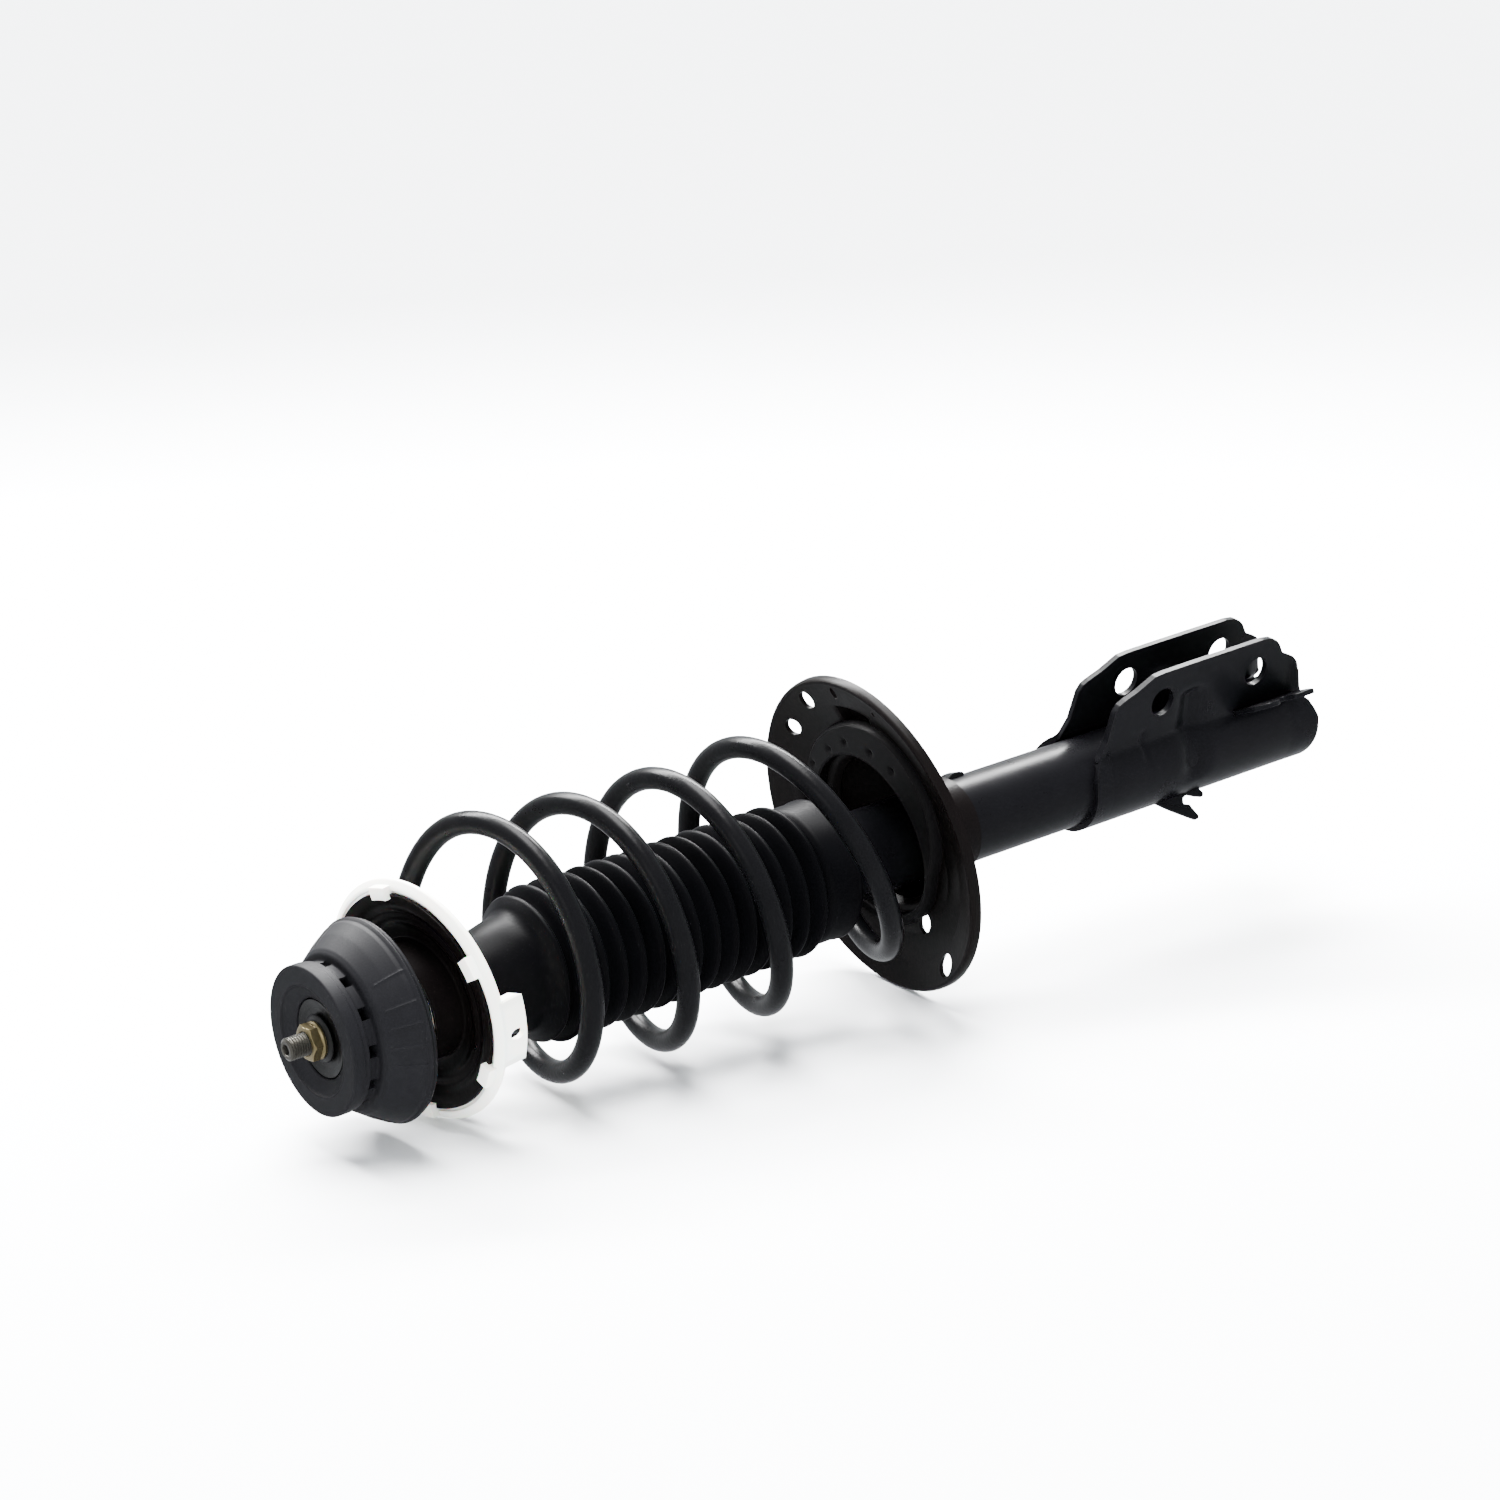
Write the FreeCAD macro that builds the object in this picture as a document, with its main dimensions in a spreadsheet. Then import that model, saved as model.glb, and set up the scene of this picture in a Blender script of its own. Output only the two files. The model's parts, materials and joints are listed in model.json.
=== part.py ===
import FreeCAD, Part
import math
import os
import re

import Sketcher
from FreeCAD import Placement, Rotation, Vector

# Front suspension strut with its coil spring, rubber top mount and knuckle bracket.
# Millimetres. +X runs along the damper's axis from the top mount to the knuckle
# bracket, +Z is up, and the origin is on that axis in the top mount's front face.

DIMENSIONS = {
    # damper
    "tube_radius": 25.0, "tube_wall": 2.0, "tube_start": 312.0, "tube_end": 686.0,
    "pressure_radius": 15.0, "pressure_wall": 1.5,
    "rod_radius": 10.0, "running_gap": 0.05, "thread_radius": 6.0, "thread_root": 5.5,
    "rod_tip": -15.0, "rod_shoulder": 9.0, "piston_front": 400.0, "tail_radius": 7.0,
    # top mount
    "disc_radius": 40.0, "disc_depth": 10.0, "cone_radius": 54.0, "cone_end": 41.0,
    "core_radius": 20.0, "nut_flats": 17.5, "nut_start": -3.8,
    # steering bearing
    "ball_radius": 3.5, "ball_pitch": 22.0, "ball_centre": 48.9, "ball_gap": 0.2,
    # upper spring seat, tilted with the bearing housing
    "plate_centre": 61.0, "plate_radius": 60.4, "housing_radius": 66.0, "hub_radius": 18.0,
    # spring
    "wire_radius": 6.25, "coil_radius": 69.4, "coil_small_radius": 57.0,
    "coil_start": 109.5, "coil_pitch": 65.87, "coil_middle": 210.0,
    # lower spring seat, tilted
    "seat_centre": 369.0, "seat_radius": 95.0, "seat_sheet": 2.6,
    # dust boot
    "crest_radius": 43.0, "root_radius": 34.0, "boot_pitch": 12.25, "boot_wall": 1.2,
    "cuff_radius": 39.5, "cuff_end": 330.0,
    # knuckle bracket
    "bracket_start": 517.0, "bracket_end": 690.0, "bracket_sheet": 3.5,
    "clevis_gap": 27.4, "hole_upper": 572.7, "hole_spacing": 77.4,
    "hole_height": 47.1, "hole_radius": 8.75, "bracket_roll": 11.84,
}

# Centres and normals of the two tilted seats.
PLATE_OFFSET = Vector(0, 0.6, 2.7)
PLATE_NORMAL = Vector(1, 0.136, 0.050)
SEAT_OFFSET = Vector(0, 3.3, 10.0)
SEAT_NORMAL = Vector(1, -0.066, 0.145)
# Cosine and sine of the direction about the axis that the coil's turns are counted from.
COIL_TURN = (0.9757, 0.2192)
BALL_COUNT = 14
# Round holes in the lower seat: degrees about its normal from the top, reach and width.
SEAT_HOLES = ((-28, 84, 9), (-50, 80, 9), (-6.5, 86.5, 5), (141, 87, 9), (149, 50, 6))
BOOT_CRESTS = 14

doc = FreeCAD.newDocument("strut_assembly")
sheet = doc.addObject("Spreadsheet::Sheet", "Sizes")
for row, (alias, value) in enumerate(DIMENSIONS.items(), start=1):
    sheet.set(f"A{row}", alias)
    sheet.set(f"B{row}", str(value))
    sheet.setAlias(f"B{row}", alias)
doc.recompute()

sub_parts = []


def bind(text):
    """An expression on the sheet, from one written with bare dimension names."""
    return re.sub(r"[a-z_]{4,}", lambda word: "Sizes." + word.group(), str(text))


def size(text):
    """The present value of an expression in dimension names, as a plain number."""
    value = sheet.evalExpression(bind(text))
    return float(getattr(value, "Value", value))


def keep(shape_object, name):
    """List an object as one of the strut's pieces, under its own name."""
    shape_object.Label = name
    sub_parts.append(shape_object)
    return shape_object


def plane_of(body, role):
    """One of a body's own origin planes."""
    return [item for item in body.Origin.OriginFeatures if item.Role == role][0]


def fill_sketch(sketch, outline):
    """Close a polygon through (across, up) expressions and bind every corner."""
    corners = [(size(across), size(up)) for across, up in outline]
    count = len(corners)
    for index, corner in enumerate(corners):
        following = corners[(index + 1) % count]
        line = Part.LineSegment(Vector(*corner, 0), Vector(*following, 0))
        sketch.addGeometry(line, False)
    for index in range(count):
        sketch.addConstraint(Sketcher.Constraint("Coincident", index, 2, (index + 1) % count, 1))
    for index, (corner, texts) in enumerate(zip(corners, outline)):
        for kind, value, text in zip(("DistanceX", "DistanceY"), corner, texts):
            number = sketch.addConstraint(Sketcher.Constraint(kind, -1, 1, index, 1, value))
            if bind(text) != str(text):
                sketch.setExpression(f"Constraints[{number}]", bind(text))


def turned(name, outline, placement=None, kept=True):
    """A body turned about X from an outline of (along, radius) expressions."""
    body = doc.addObject("PartDesign::Body", name)
    sketch = body.newObject("Sketcher::SketchObject", name + "_outline")
    sketch.AttachmentSupport = [(plane_of(body, "XZ_Plane"), "")]
    sketch.MapMode = "FlatFace"
    fill_sketch(sketch, outline)
    turn = body.newObject("PartDesign::Revolution", name + "_turn")
    turn.Profile = sketch
    turn.ReferenceAxis = (sketch, ["H_Axis"])
    turn.Angle = 360
    if placement:
        body.Placement = placement
    return keep(body, name) if kept else body


def slab(name, outline, thickness, plane="XZ_Plane", placement=None):
    """A body padded evenly to both sides of a plane; not kept by itself."""
    body = doc.addObject("PartDesign::Body", name)
    sketch = body.newObject("Sketcher::SketchObject", name + "_outline")
    sketch.AttachmentSupport = [(plane_of(body, plane), "")]
    sketch.MapMode = "FlatFace"
    fill_sketch(sketch, outline)
    pad = body.newObject("PartDesign::Pad", name + "_pad")
    pad.Profile = sketch
    pad.SideType = "Symmetric"
    pad.setExpression("Length", bind(thickness))
    if placement:
        body.Placement = placement
    return body


def rod_tool(name, radius, start, length, direction=Vector(1, 0, 0), base=Vector(0, 0, 0)):
    """A cylinder that starts a distance along a direction from a base point."""
    tool = doc.addObject("Part::Cylinder", name)
    tool.setExpression("Radius", bind(radius))
    tool.setExpression("Height", bind(length))
    turn = Rotation(Vector(0, 0, 1), direction)
    tool.Placement = Placement(base + direction * size(start), turn)
    return tool


def hex_prism(name, circumradius, start, length):
    """A hexagonal prism along the axis from a start position."""
    prism = doc.addObject("Part::Prism", name)
    prism.Polygon = 6
    prism.setExpression("Circumradius", bind(circumradius))
    prism.Height = length
    prism.Placement = Placement(Vector(size(start), 0, 0), Rotation(Vector(0, 0, 1), Vector(1, 0, 0)))
    return prism


def ring_of(tools, name):
    """Several shapes joined into one tool."""
    fuse = doc.addObject("Part::MultiFuse", name)
    fuse.Shapes = tools
    return fuse


def cut(name, base, tool, kept=True):
    """The base with the tool taken away."""
    result = doc.addObject("Part::Cut", name)
    result.Base = base
    result.Tool = tool
    return keep(result, name) if kept else result


def tilted(centre, offset, normal):
    """A placement whose own X axis is a tilted seat's normal."""
    return Placement(Vector(size(centre), 0, 0) + offset, Rotation(Vector(1, 0, 0), normal))


# Damper: the outer tube, what closes it, and the valves and guide inside it.

def damper():
    bore = "tube_radius - tube_wall"
    turned("strut_tube", [
        ("tube_start", "rod_radius + 11.5"), ("tube_start", "tube_radius"),
        ("tube_end", "tube_radius"), ("tube_end", bore),
        ("tube_start + tube_wall", bore), ("tube_start + tube_wall", "rod_radius + 11.5")])
    turned("base_cup", [
        ("tube_end - 14", 0), ("tube_end - 14", bore), ("tube_end - 0.5", bore), ("tube_end - 0.5", 0)])
    turned("base_valve", [
        ("tube_end - 34", 0), ("tube_end - 34", "pressure_radius"),
        ("tube_end - 26", "pressure_radius"), ("tube_end - 26", "pressure_radius + 4"),
        ("tube_end - 14", "pressure_radius + 4"), ("tube_end - 14", 0)])
    outside = "pressure_radius + pressure_wall"
    turned("pressure_tube", [
        ("tube_start + 14", "pressure_radius"), ("tube_start + 14", outside),
        ("tube_end - 26", outside), ("tube_end - 26", "pressure_radius")])
    lined = "rod_radius + 1.5"
    turned("rod_guide", [
        ("tube_start + 6", lined), ("tube_start + 6", bore), ("tube_start + 14", bore),
        ("tube_start + 14", "pressure_radius"), ("tube_start + 22", "pressure_radius"),
        ("tube_start + 22", lined)])
    running = "rod_radius + running_gap"
    turned("guide_bush", [
        ("tube_start + 6", running), ("tube_start + 6", lined),
        ("tube_start + 22", lined), ("tube_start + 22", running)])
    turned("oil_seal", [
        ("tube_start + 2", running), ("tube_start + 2", bore),
        ("tube_start + 6", bore), ("tube_start + 6", running)])
    skirt = "tube_radius + 1.5"
    flange = "cuff_radius - boot_wall - 0.3"
    turned("bump_cap", [
        ("tube_start - 3", "rod_radius + 2"), ("tube_start - 3", skirt),
        ("tube_start + 8", skirt), ("tube_start + 8", flange), ("tube_start + 10", flange),
        ("tube_start + 10", skirt), ("tube_start + 21", skirt),
        ("tube_start + 21", "tube_radius"), ("tube_start", "tube_radius"),
        ("tube_start", "rod_radius + 2")])


# Piston rod with its piston: these hang from the top mount.

def piston_rod():
    body = turned("rod_blank", [
        ("rod_tip", 0), ("rod_tip", "thread_radius - 0.8"), ("rod_tip + 1", "thread_radius"),
        ("nut_start - 0.1", "thread_radius"), ("nut_start - 0.1", "thread_root"),
        ("rod_shoulder", "thread_root"), ("rod_shoulder", "rod_radius"),
        ("piston_front", "rod_radius"), ("piston_front", "tail_radius"),
        ("piston_front + 34", "tail_radius"), ("piston_front + 34", 0)], kept=False)
    key = hex_prism("key_socket", "3.4", "rod_tip - 0.5", 6)
    cut("piston_rod", body, key)


def piston_group():
    land = "pressure_radius - 1.2"
    core = "tail_radius"
    turned("rebound_stop", [
        ("piston_front - 12", "rod_radius"), ("piston_front - 12", "pressure_radius - 1"),
        ("piston_front - 3", "pressure_radius - 1"), ("piston_front - 3", "rod_radius")])
    turned("valve_shims", [
        ("piston_front", core), ("piston_front", "rod_radius + 2"),
        ("piston_front + 2", "rod_radius + 2"), ("piston_front + 2", core)])
    turned("piston", [
        ("piston_front + 2", core), ("piston_front + 2", land), ("piston_front + 20", land),
        ("piston_front + 20", core)])
    turned("piston_band", [
        ("piston_front + 6", land), ("piston_front + 6", "pressure_radius - running_gap"),
        ("piston_front + 16", "pressure_radius - running_gap"), ("piston_front + 16", land)])
    hexagon = hex_prism("piston_nut_blank", "10.5", "piston_front + 20", 9)
    hole = rod_tool("piston_nut_hole", core, "piston_front + 19", 12)
    cut("piston_nut", hexagon, hole)


# Top mount: a rubber cone on a steel shell, its steel core, and the rod's nut.

def top_mount():
    turned("mount_rubber", [
        ("4", "core_radius + 1"), ("4", "disc_radius - 13"), ("0", "disc_radius - 11"),
        ("0", "disc_radius"), ("disc_depth", "disc_radius"),
        ("disc_depth + 1", "disc_radius - 2"), ("disc_depth + 6", "disc_radius - 2"),
        ("disc_depth + 6", "disc_radius"), ("26", "cone_radius - 6"),
        ("cone_end - 8", "cone_radius - 1"), ("cone_end", "cone_radius"),
        ("cone_end", "cone_radius - 4"), ("cone_end - 5", "cone_radius - 5"),
        ("cone_end - 5", "34"), ("16", "core_radius + 6"), ("16", "core_radius + 1")])
    turned("mount_shell", [
        ("16.4", "core_radius + 5.9"), ("cone_end - 4.8", "33.8"),
        ("cone_end - 4.8", "cone_radius - 8"), ("cone_end - 2.8", "cone_radius - 8"),
        ("cone_end - 2.8", "31.8"), ("18", "core_radius + 3.9")])
    turned("mount_core", [
        ("6", "thread_radius + 0.05"), ("6", "core_radius - 2"), ("3", "core_radius - 2"),
        ("3", "core_radius + 0.8"), ("rod_shoulder + 14", "core_radius + 0.8"),
        ("rod_shoulder + 14", "core_radius - 1"), ("rod_shoulder", "core_radius - 1"),
        ("rod_shoulder", "thread_radius + 0.05")])
    turned("thrust_plate", [
        ("cone_end - 2.6", "rod_radius + 3"), ("cone_end - 2.6", "cone_radius - 8"),
        ("cone_end - 1", "cone_radius - 8"), ("cone_end - 1", "rod_radius + 3")])
    turned("spacer_collar", [
        ("rod_shoulder", "rod_radius + 0.05"), ("rod_shoulder", "rod_radius + 2.9"),
        ("cone_end - 1", "rod_radius + 2.9"), ("cone_end - 1", "rod_radius + 0.05")])
    turned("rebound_washer", [
        ("3.4", "thread_radius + 0.2"), ("3.4", "core_radius - 9"), ("1.5", "core_radius - 5"),
        ("2.7", "core_radius - 4"), ("6", "thread_radius + 4"), ("6", "thread_radius + 0.2")])


def rod_nut():
    flange = rod_tool("nut_flange", "nut_flats / 2 + 1", "1.2", 2.2)
    hexagon = hex_prism("nut_hexagon", "nut_flats / 2 / cos(30)", "nut_start", 5.4)
    hole = rod_tool("nut_hole", "thread_root", -9, 14)
    cut("rod_nut", ring_of([flange, hexagon], "nut_blank"), hole)


# Steering bearing: two races, a cage and its balls.

def steering_bearing():
    inner, outer = "ball_pitch - 5", "ball_pitch + 5"
    crown = "ball_centre - ball_radius - ball_gap"
    turned("bearing_race_upper", [
        ("cone_end - 1", inner), ("cone_end - 1", outer), (crown, outer), (crown, inner)])
    floor = "ball_centre + ball_radius + ball_gap"
    turned("bearing_race_lower", [
        (floor, inner), (floor, outer), (floor + " + 3", outer), (floor + " + 3", inner)])
    balls = []
    for index in range(BALL_COUNT):
        angle = 2 * math.pi * index / BALL_COUNT
        ball = doc.addObject("Part::Sphere", f"ball_{index}")
        ball.setExpression("Radius", bind("ball_radius"))
        pitch = size("ball_pitch")
        spot = Vector(size("ball_centre"), pitch * math.cos(angle), pitch * math.sin(angle))
        ball.Placement = Placement(spot, Rotation())
        balls.append(ball)
    group = doc.addObject("Part::Compound", "ball_group")
    group.Links = balls
    keep(group, "bearing_balls")
    blank = turned("cage_blank", [
        ("ball_centre - 1.2", "ball_pitch - 4"), ("ball_centre - 1.2", "ball_pitch + 4"),
        ("ball_centre + 1.2", "ball_pitch + 4"), ("ball_centre + 1.2", "ball_pitch - 4")], kept=False)
    pockets = []
    for index, ball in enumerate(balls):
        centre = ball.Placement.Base
        pocket = rod_tool(f"pocket_{index}", "ball_radius + 0.1", -3, 6, base=centre)
        pockets.append(pocket)
    cut("ball_cage", blank, ring_of(pockets, "cage_pockets"))


# Upper spring seat: the steel plate, the nylon bearing housing that holds it, the bump stop.

def upper_seat():
    place = tilted("plate_centre", PLATE_OFFSET, PLATE_NORMAL)
    turned("upper_seat_plate", [
        ("0", "plate_radius"), ("-1.5", "plate_radius - 1.5"), ("1", "52"), ("5", "47"),
        ("3", "44"), ("7", "40"), ("7", "33"), ("-11", "31.6"), ("-11", "29.8"), ("9", "30.6"),
        ("9", "41"), ("5.4", "44.4"),
        ("7.2", "48"), ("3", "53.2"), ("2", "plate_radius")], place)
    ring = turned("housing_ring", [
        ("-1", "plate_radius + 0.3"), ("-1", "housing_radius - 1"), ("0.5", "housing_radius"),
        ("5", "housing_radius"), ("8", "housing_radius - 3"), ("12", "housing_radius - 9"),
        ("12", "16"), ("9.4", "16"), ("9.4", "42"), ("5.8", "45"), ("7.6", "48.4"),
        ("3.4", "53.6"), ("2.4", "plate_radius + 0.3")], place, kept=False)
    hub = turned("housing_hub", [
        ("ball_centre + ball_radius + ball_gap + 3", "12"),
        ("ball_centre + ball_radius + ball_gap + 3", "ball_pitch + 5"),
        ("58.6", "ball_pitch + 5"), ("61", "hub_radius"), ("100", "hub_radius"), ("100", "12")],
        kept=False)
    clip = slab("clip_box", [
        ("4", "-19"), ("4", "15"), ("17", "15"), ("20", "11"), ("20", "-13"), ("14", "-19")],
        "9", "XZ_Plane", Placement(Vector(0, -61.2, 0), Rotation()))
    window = slab("clip_window", [("10", "-4"), ("10", "3"), ("15", "3"), ("15", "-4")],
                  "14", "XZ_Plane", Placement(Vector(0, -61.2, 0), Rotation()))
    pocket = rod_tool("clip_inside", "housing_radius - 5", 4, 20)
    clip_cut = cut("clip", clip, ring_of([window, pocket], "clip_tools"), kept=False)
    clip_cut.Placement = place
    tabs = []
    for index, angle in enumerate((11, 66, 116, 182, 243, 301)):
        tab = doc.addObject("Part::Box", f"snap_tab_{index}")
        tab.Length, tab.Width, tab.Height = 4.5, 12, 7
        spin = Placement(Vector(0, 0, 0), Rotation(Vector(1, 0, 0), angle))
        lift = Placement(Vector(-4, -6, size("plate_radius") - 3.5), Rotation())
        tab.Placement = place.multiply(spin).multiply(lift)
        tabs.append(tab)
    rim = rod_tool("rim_clearance", "plate_radius + 0.25", "0", "10")
    lying = Rotation(Vector(0, 0, 1), Vector(1, 0, 0))
    rim.Placement = place.multiply(Placement(Vector(-2, 0, 0), lying))
    tab_set = cut("snap_tabs", ring_of(tabs, "tab_blanks"), rim, kept=False)
    ring_set = ring_of([ring, hub, clip_cut, tab_set], "housing_solid")
    bore = rod_tool("hub_bore", "12", 50, 60)
    cut("bearing_housing", ring_set, bore)
    waist = ["22", "18.5", "22", "18", "21", "17", "19"]
    outline = [("100.3", "10.6")]
    for index, radius in enumerate(waist):
        outline.append((f"{100.3 + 9 * index}", radius))
    outline += [("160", "14"), ("163", "10.6")]
    turned("bump_stop", outline)


# Dust boot: a neck on the hub, a cone, the folds and a plain cuff.

def dust_boot():
    fold = size("boot_pitch")
    first = 142.0
    outer = [("86", "hub_radius + 4"), ("122", "31.6"), ("124.5", "31.6"), ("131", "40"),
             ("135.5", "root_radius + 1")]
    inner = [("86", "hub_radius + 2.8"), ("121.6", "30.4"), ("125.2", "30.4"), ("131", "37.9"),
             ("135.5", "root_radius - 1.3")]
    for index in range(BOOT_CRESTS):
        crest = f"{first} + boot_pitch * {index}"
        root = f"{first} + boot_pitch * {index + 0.5}"
        outer += [(crest + " - 0.8", "crest_radius"), (crest + " + 0.8", "crest_radius"),
                  (root, "root_radius")]
        inner += [(crest, "crest_radius - 2.1"), (root, "root_radius - 2.3")]
    start = first + fold * BOOT_CRESTS - 2
    outer += [(f"{start}", "cuff_radius"), ("cuff_end", "cuff_radius")]
    inner += [(f"{start}", "cuff_radius - boot_wall"), ("cuff_end", "cuff_radius - boot_wall")]
    turned("dust_boot", outer + inner[::-1])


# Lower spring seat: a pressed dish, its funnel to the tube, and the rubber that holds the coil.

def lower_seat():
    place = tilted("seat_centre", SEAT_OFFSET, SEAT_NORMAL)
    dish = turned("seat_dish", [
        ("0", "seat_radius"), ("0", "seat_radius - 2"), ("3.5", "seat_radius - 9"),
        ("5", "seat_radius - 16"), ("9", "62"), ("9", "48"), ("14", "44"),
        ("14 + seat_sheet", "46"), ("9 + seat_sheet", "50"), ("9 + seat_sheet", "64"),
        ("5 + seat_sheet", "seat_radius - 15"), ("3.5 + seat_sheet", "seat_radius - 8"),
        ("7", "seat_radius - 2"), ("7", "seat_radius")], place, kept=False)
    slots = []
    for index, (angle, reach, slot) in enumerate(SEAT_HOLES):
        hole = doc.addObject("Part::Cylinder", f"seat_hole_{index}")
        hole.Radius = slot / 2
        hole.Height = 40
        spin = Placement(Vector(0, 0, 0), Rotation(Vector(1, 0, 0), angle))
        lift = Placement(Vector(-12, 0, reach), Rotation(Vector(0, 0, 1), Vector(1, 0, 0)))
        hole.Placement = place.multiply(spin).multiply(lift)
        slots.append(hole)
    pocket = doc.addObject("Part::Box", "seat_pocket")
    pocket.Length, pocket.Width, pocket.Height = 40, 26, 9
    pocket.Placement = place.multiply(Placement(Vector(-12, -13, 66), Rotation()))
    slots.append(pocket)
    punched = cut("seat_punched", dish, ring_of(slots, "seat_holes"), kept=False)
    mouth = Part.Wire([Part.Circle(Vector(14, 0, 0), Vector(1, 0, 0), 46).toShape()])
    mouth.Placement = place
    collar_start = Part.Wire([Part.Circle(Vector(415, 0, 0), Vector(1, 0, 0), 28).toShape()])
    funnel = Part.makeLoft([mouth, collar_start], True)
    inner_mouth = Part.Wire([Part.Circle(Vector(14 - 0.01, 0, 0), Vector(1, 0, 0), 43.5).toShape()])
    inner_mouth.Placement = place
    inner_end = Part.Wire([Part.Circle(Vector(415.01, 0, 0), Vector(1, 0, 0), 25.5).toShape()])
    shell = funnel.cut(Part.makeLoft([inner_mouth, inner_end], True))
    collar = Part.makeCylinder(28, 12, Vector(415, 0, 0), Vector(1, 0, 0))
    cup = doc.addObject("Part::Feature", "seat_funnel")
    tube = Part.makeCylinder(size("tube_radius"), 80, Vector(360, 0, 0), Vector(1, 0, 0))
    cup.Shape = shell.fuse(collar).cut(tube)
    bump = doc.addObject("Part::Box", "pocket_back")
    bump.Length, bump.Width, bump.Height = 13, 29, 12
    bump.Placement = place.multiply(Placement(Vector(4.5, -14.5, 64.5), Rotation()))
    hollow = doc.addObject("Part::Box", "pocket_hollow")
    hollow.Length, hollow.Width, hollow.Height = 13, 25, 8
    hollow.Placement = place.multiply(Placement(Vector(2.5, -12.5, 66.5), Rotation()))
    box = cut("pocket_shell", bump, hollow, kept=False)
    whole = ring_of([punched, cup, box], "lower_spring_seat_solid")
    keep(whole, "lower_spring_seat")


def seat_rubber():
    """The moulded ring round the cup: its outside follows a spiral that holds the coil's end."""
    place = tilted("seat_centre", SEAT_OFFSET, SEAT_NORMAL)
    points = []
    steps = 24
    for index in range(steps):
        angle = 2 * math.pi * index / steps
        reach = 56.5 + 12.5 * max(0.0, math.cos(angle - math.radians(36))) ** 3
        points.append(Vector(0, -reach * math.sin(angle), reach * math.cos(angle)))
    curve = Part.BSplineCurve()
    curve.interpolate(points, PeriodicFlag=True)
    outside = Part.Face(Part.Wire([curve.toShape()]))
    block = outside.extrude(Vector(12, 0, 0))
    block = block.cut(Part.makeCylinder(48.5, 30, Vector(-5, 0, 0), Vector(1, 0, 0)))
    under = [Vector(along, 0, radius) for along, radius in (
        (20, 48), (8.7, 48), (8.7, 62), (4.7, 79.2), (20, 90))]
    wire = Part.makePolygon(under + under[:1])
    floor = Part.Face(wire).revolve(Vector(0, 0, 0), Vector(1, 0, 0), 360)
    block = block.cut(floor)
    block = block.cut(Part.makeBox(60, 30, 13, Vector(-20, -15, 64)))
    rubber = doc.addObject("Part::Feature", "seat_rubber")
    rubber.Shape = block
    rubber.Placement = place
    keep(rubber, "lower_seat_rubber")


# Coil spring: a right-handed coil whose first turn tightens onto the housing.

def coil_path():
    """Points along the wire's centre. The coil bows upward in the middle of its length,
    opens out from the bearing housing at its start and closes onto the lower seat."""
    points = []
    first, last, per_turn = -0.52, 3.78, 20
    count = round((last - first) * per_turn)
    for index in range(count + 1):
        turns = first + (last - first) * index / count
        angle = 2 * math.pi * turns
        along = size("coil_start") + size("coil_pitch") * turns - 1.14 * turns ** 2
        along += 31 * max(0.0, turns - 2.9) ** 2
        along += 46 * max(0.0, -turns) ** 2
        reach = min(along - size("coil_middle"), 95.0)
        radius = size("coil_radius")
        along += radius * (-0.00104 * reach * math.cos(angle)
                           - (0.077 + 0.00108 * reach) * math.sin(angle))
        rise = 7.64 - 0.0148 * reach + 0.00052 * reach ** 2
        side = -2.07 + 0.0312 * reach + 0.00054 * reach ** 2
        drawn = max(0.0, min(1.0, -turns / 0.42))
        drawn = drawn * drawn * (3 - 2 * drawn)
        radius -= (radius - size("coil_small_radius")) * drawn
        rise += (2.8 - rise) * drawn
        side -= side * drawn
        across = rise + radius * math.cos(angle)
        near = side + radius * math.sin(angle)
        y = COIL_TURN[1] * across - COIL_TURN[0] * near
        z = COIL_TURN[0] * across + COIL_TURN[1] * near
        top_limit = size("plate_centre") + 19.4 - 0.136 * y - 0.05 * z
        seat_limit = size("seat_centre") - 0.145 * (z - 10) + 0.066 * (y - 3.3)
        if turns < -0.3:
            along = top_limit + (along - top_limit) * max(0.0, 1 + (turns + 0.3) / 0.2)
        along = min(max(along, top_limit), seat_limit)
        points.append(Vector(along, y, z))
    return points


def coil_spring():
    points = coil_path()
    line = Part.BSplineCurve()
    line.interpolate(points)
    start = line.tangent(line.FirstParameter)[0]
    section = Part.Wire([Part.Circle(points[0], start, size("wire_radius")).toShape()])
    sweep = Part.BRepOffsetAPI.MakePipeShell(Part.Wire([line.toShape()]))
    sweep.setFrenetMode(True)
    sweep.add(section)
    sweep.build()
    sweep.makeSolid()
    spring = doc.addObject("Part::Feature", "spring_wire")
    spring.Shape = sweep.shape()
    expected = math.pi * size("wire_radius") ** 2 * line.length()
    print("spring: wire length %.0f mm, volume %.4f of section times length"
          % (line.length(), spring.Shape.Volume / expected))
    keep(spring, "coil_spring")


# Knuckle bracket: a sheet wrapped round the tube whose two ears clamp the knuckle.

ROLL = Placement(Vector(0, 0, 0), Rotation(Vector(1, 0, 0), DIMENSIONS["bracket_roll"]))


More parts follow.
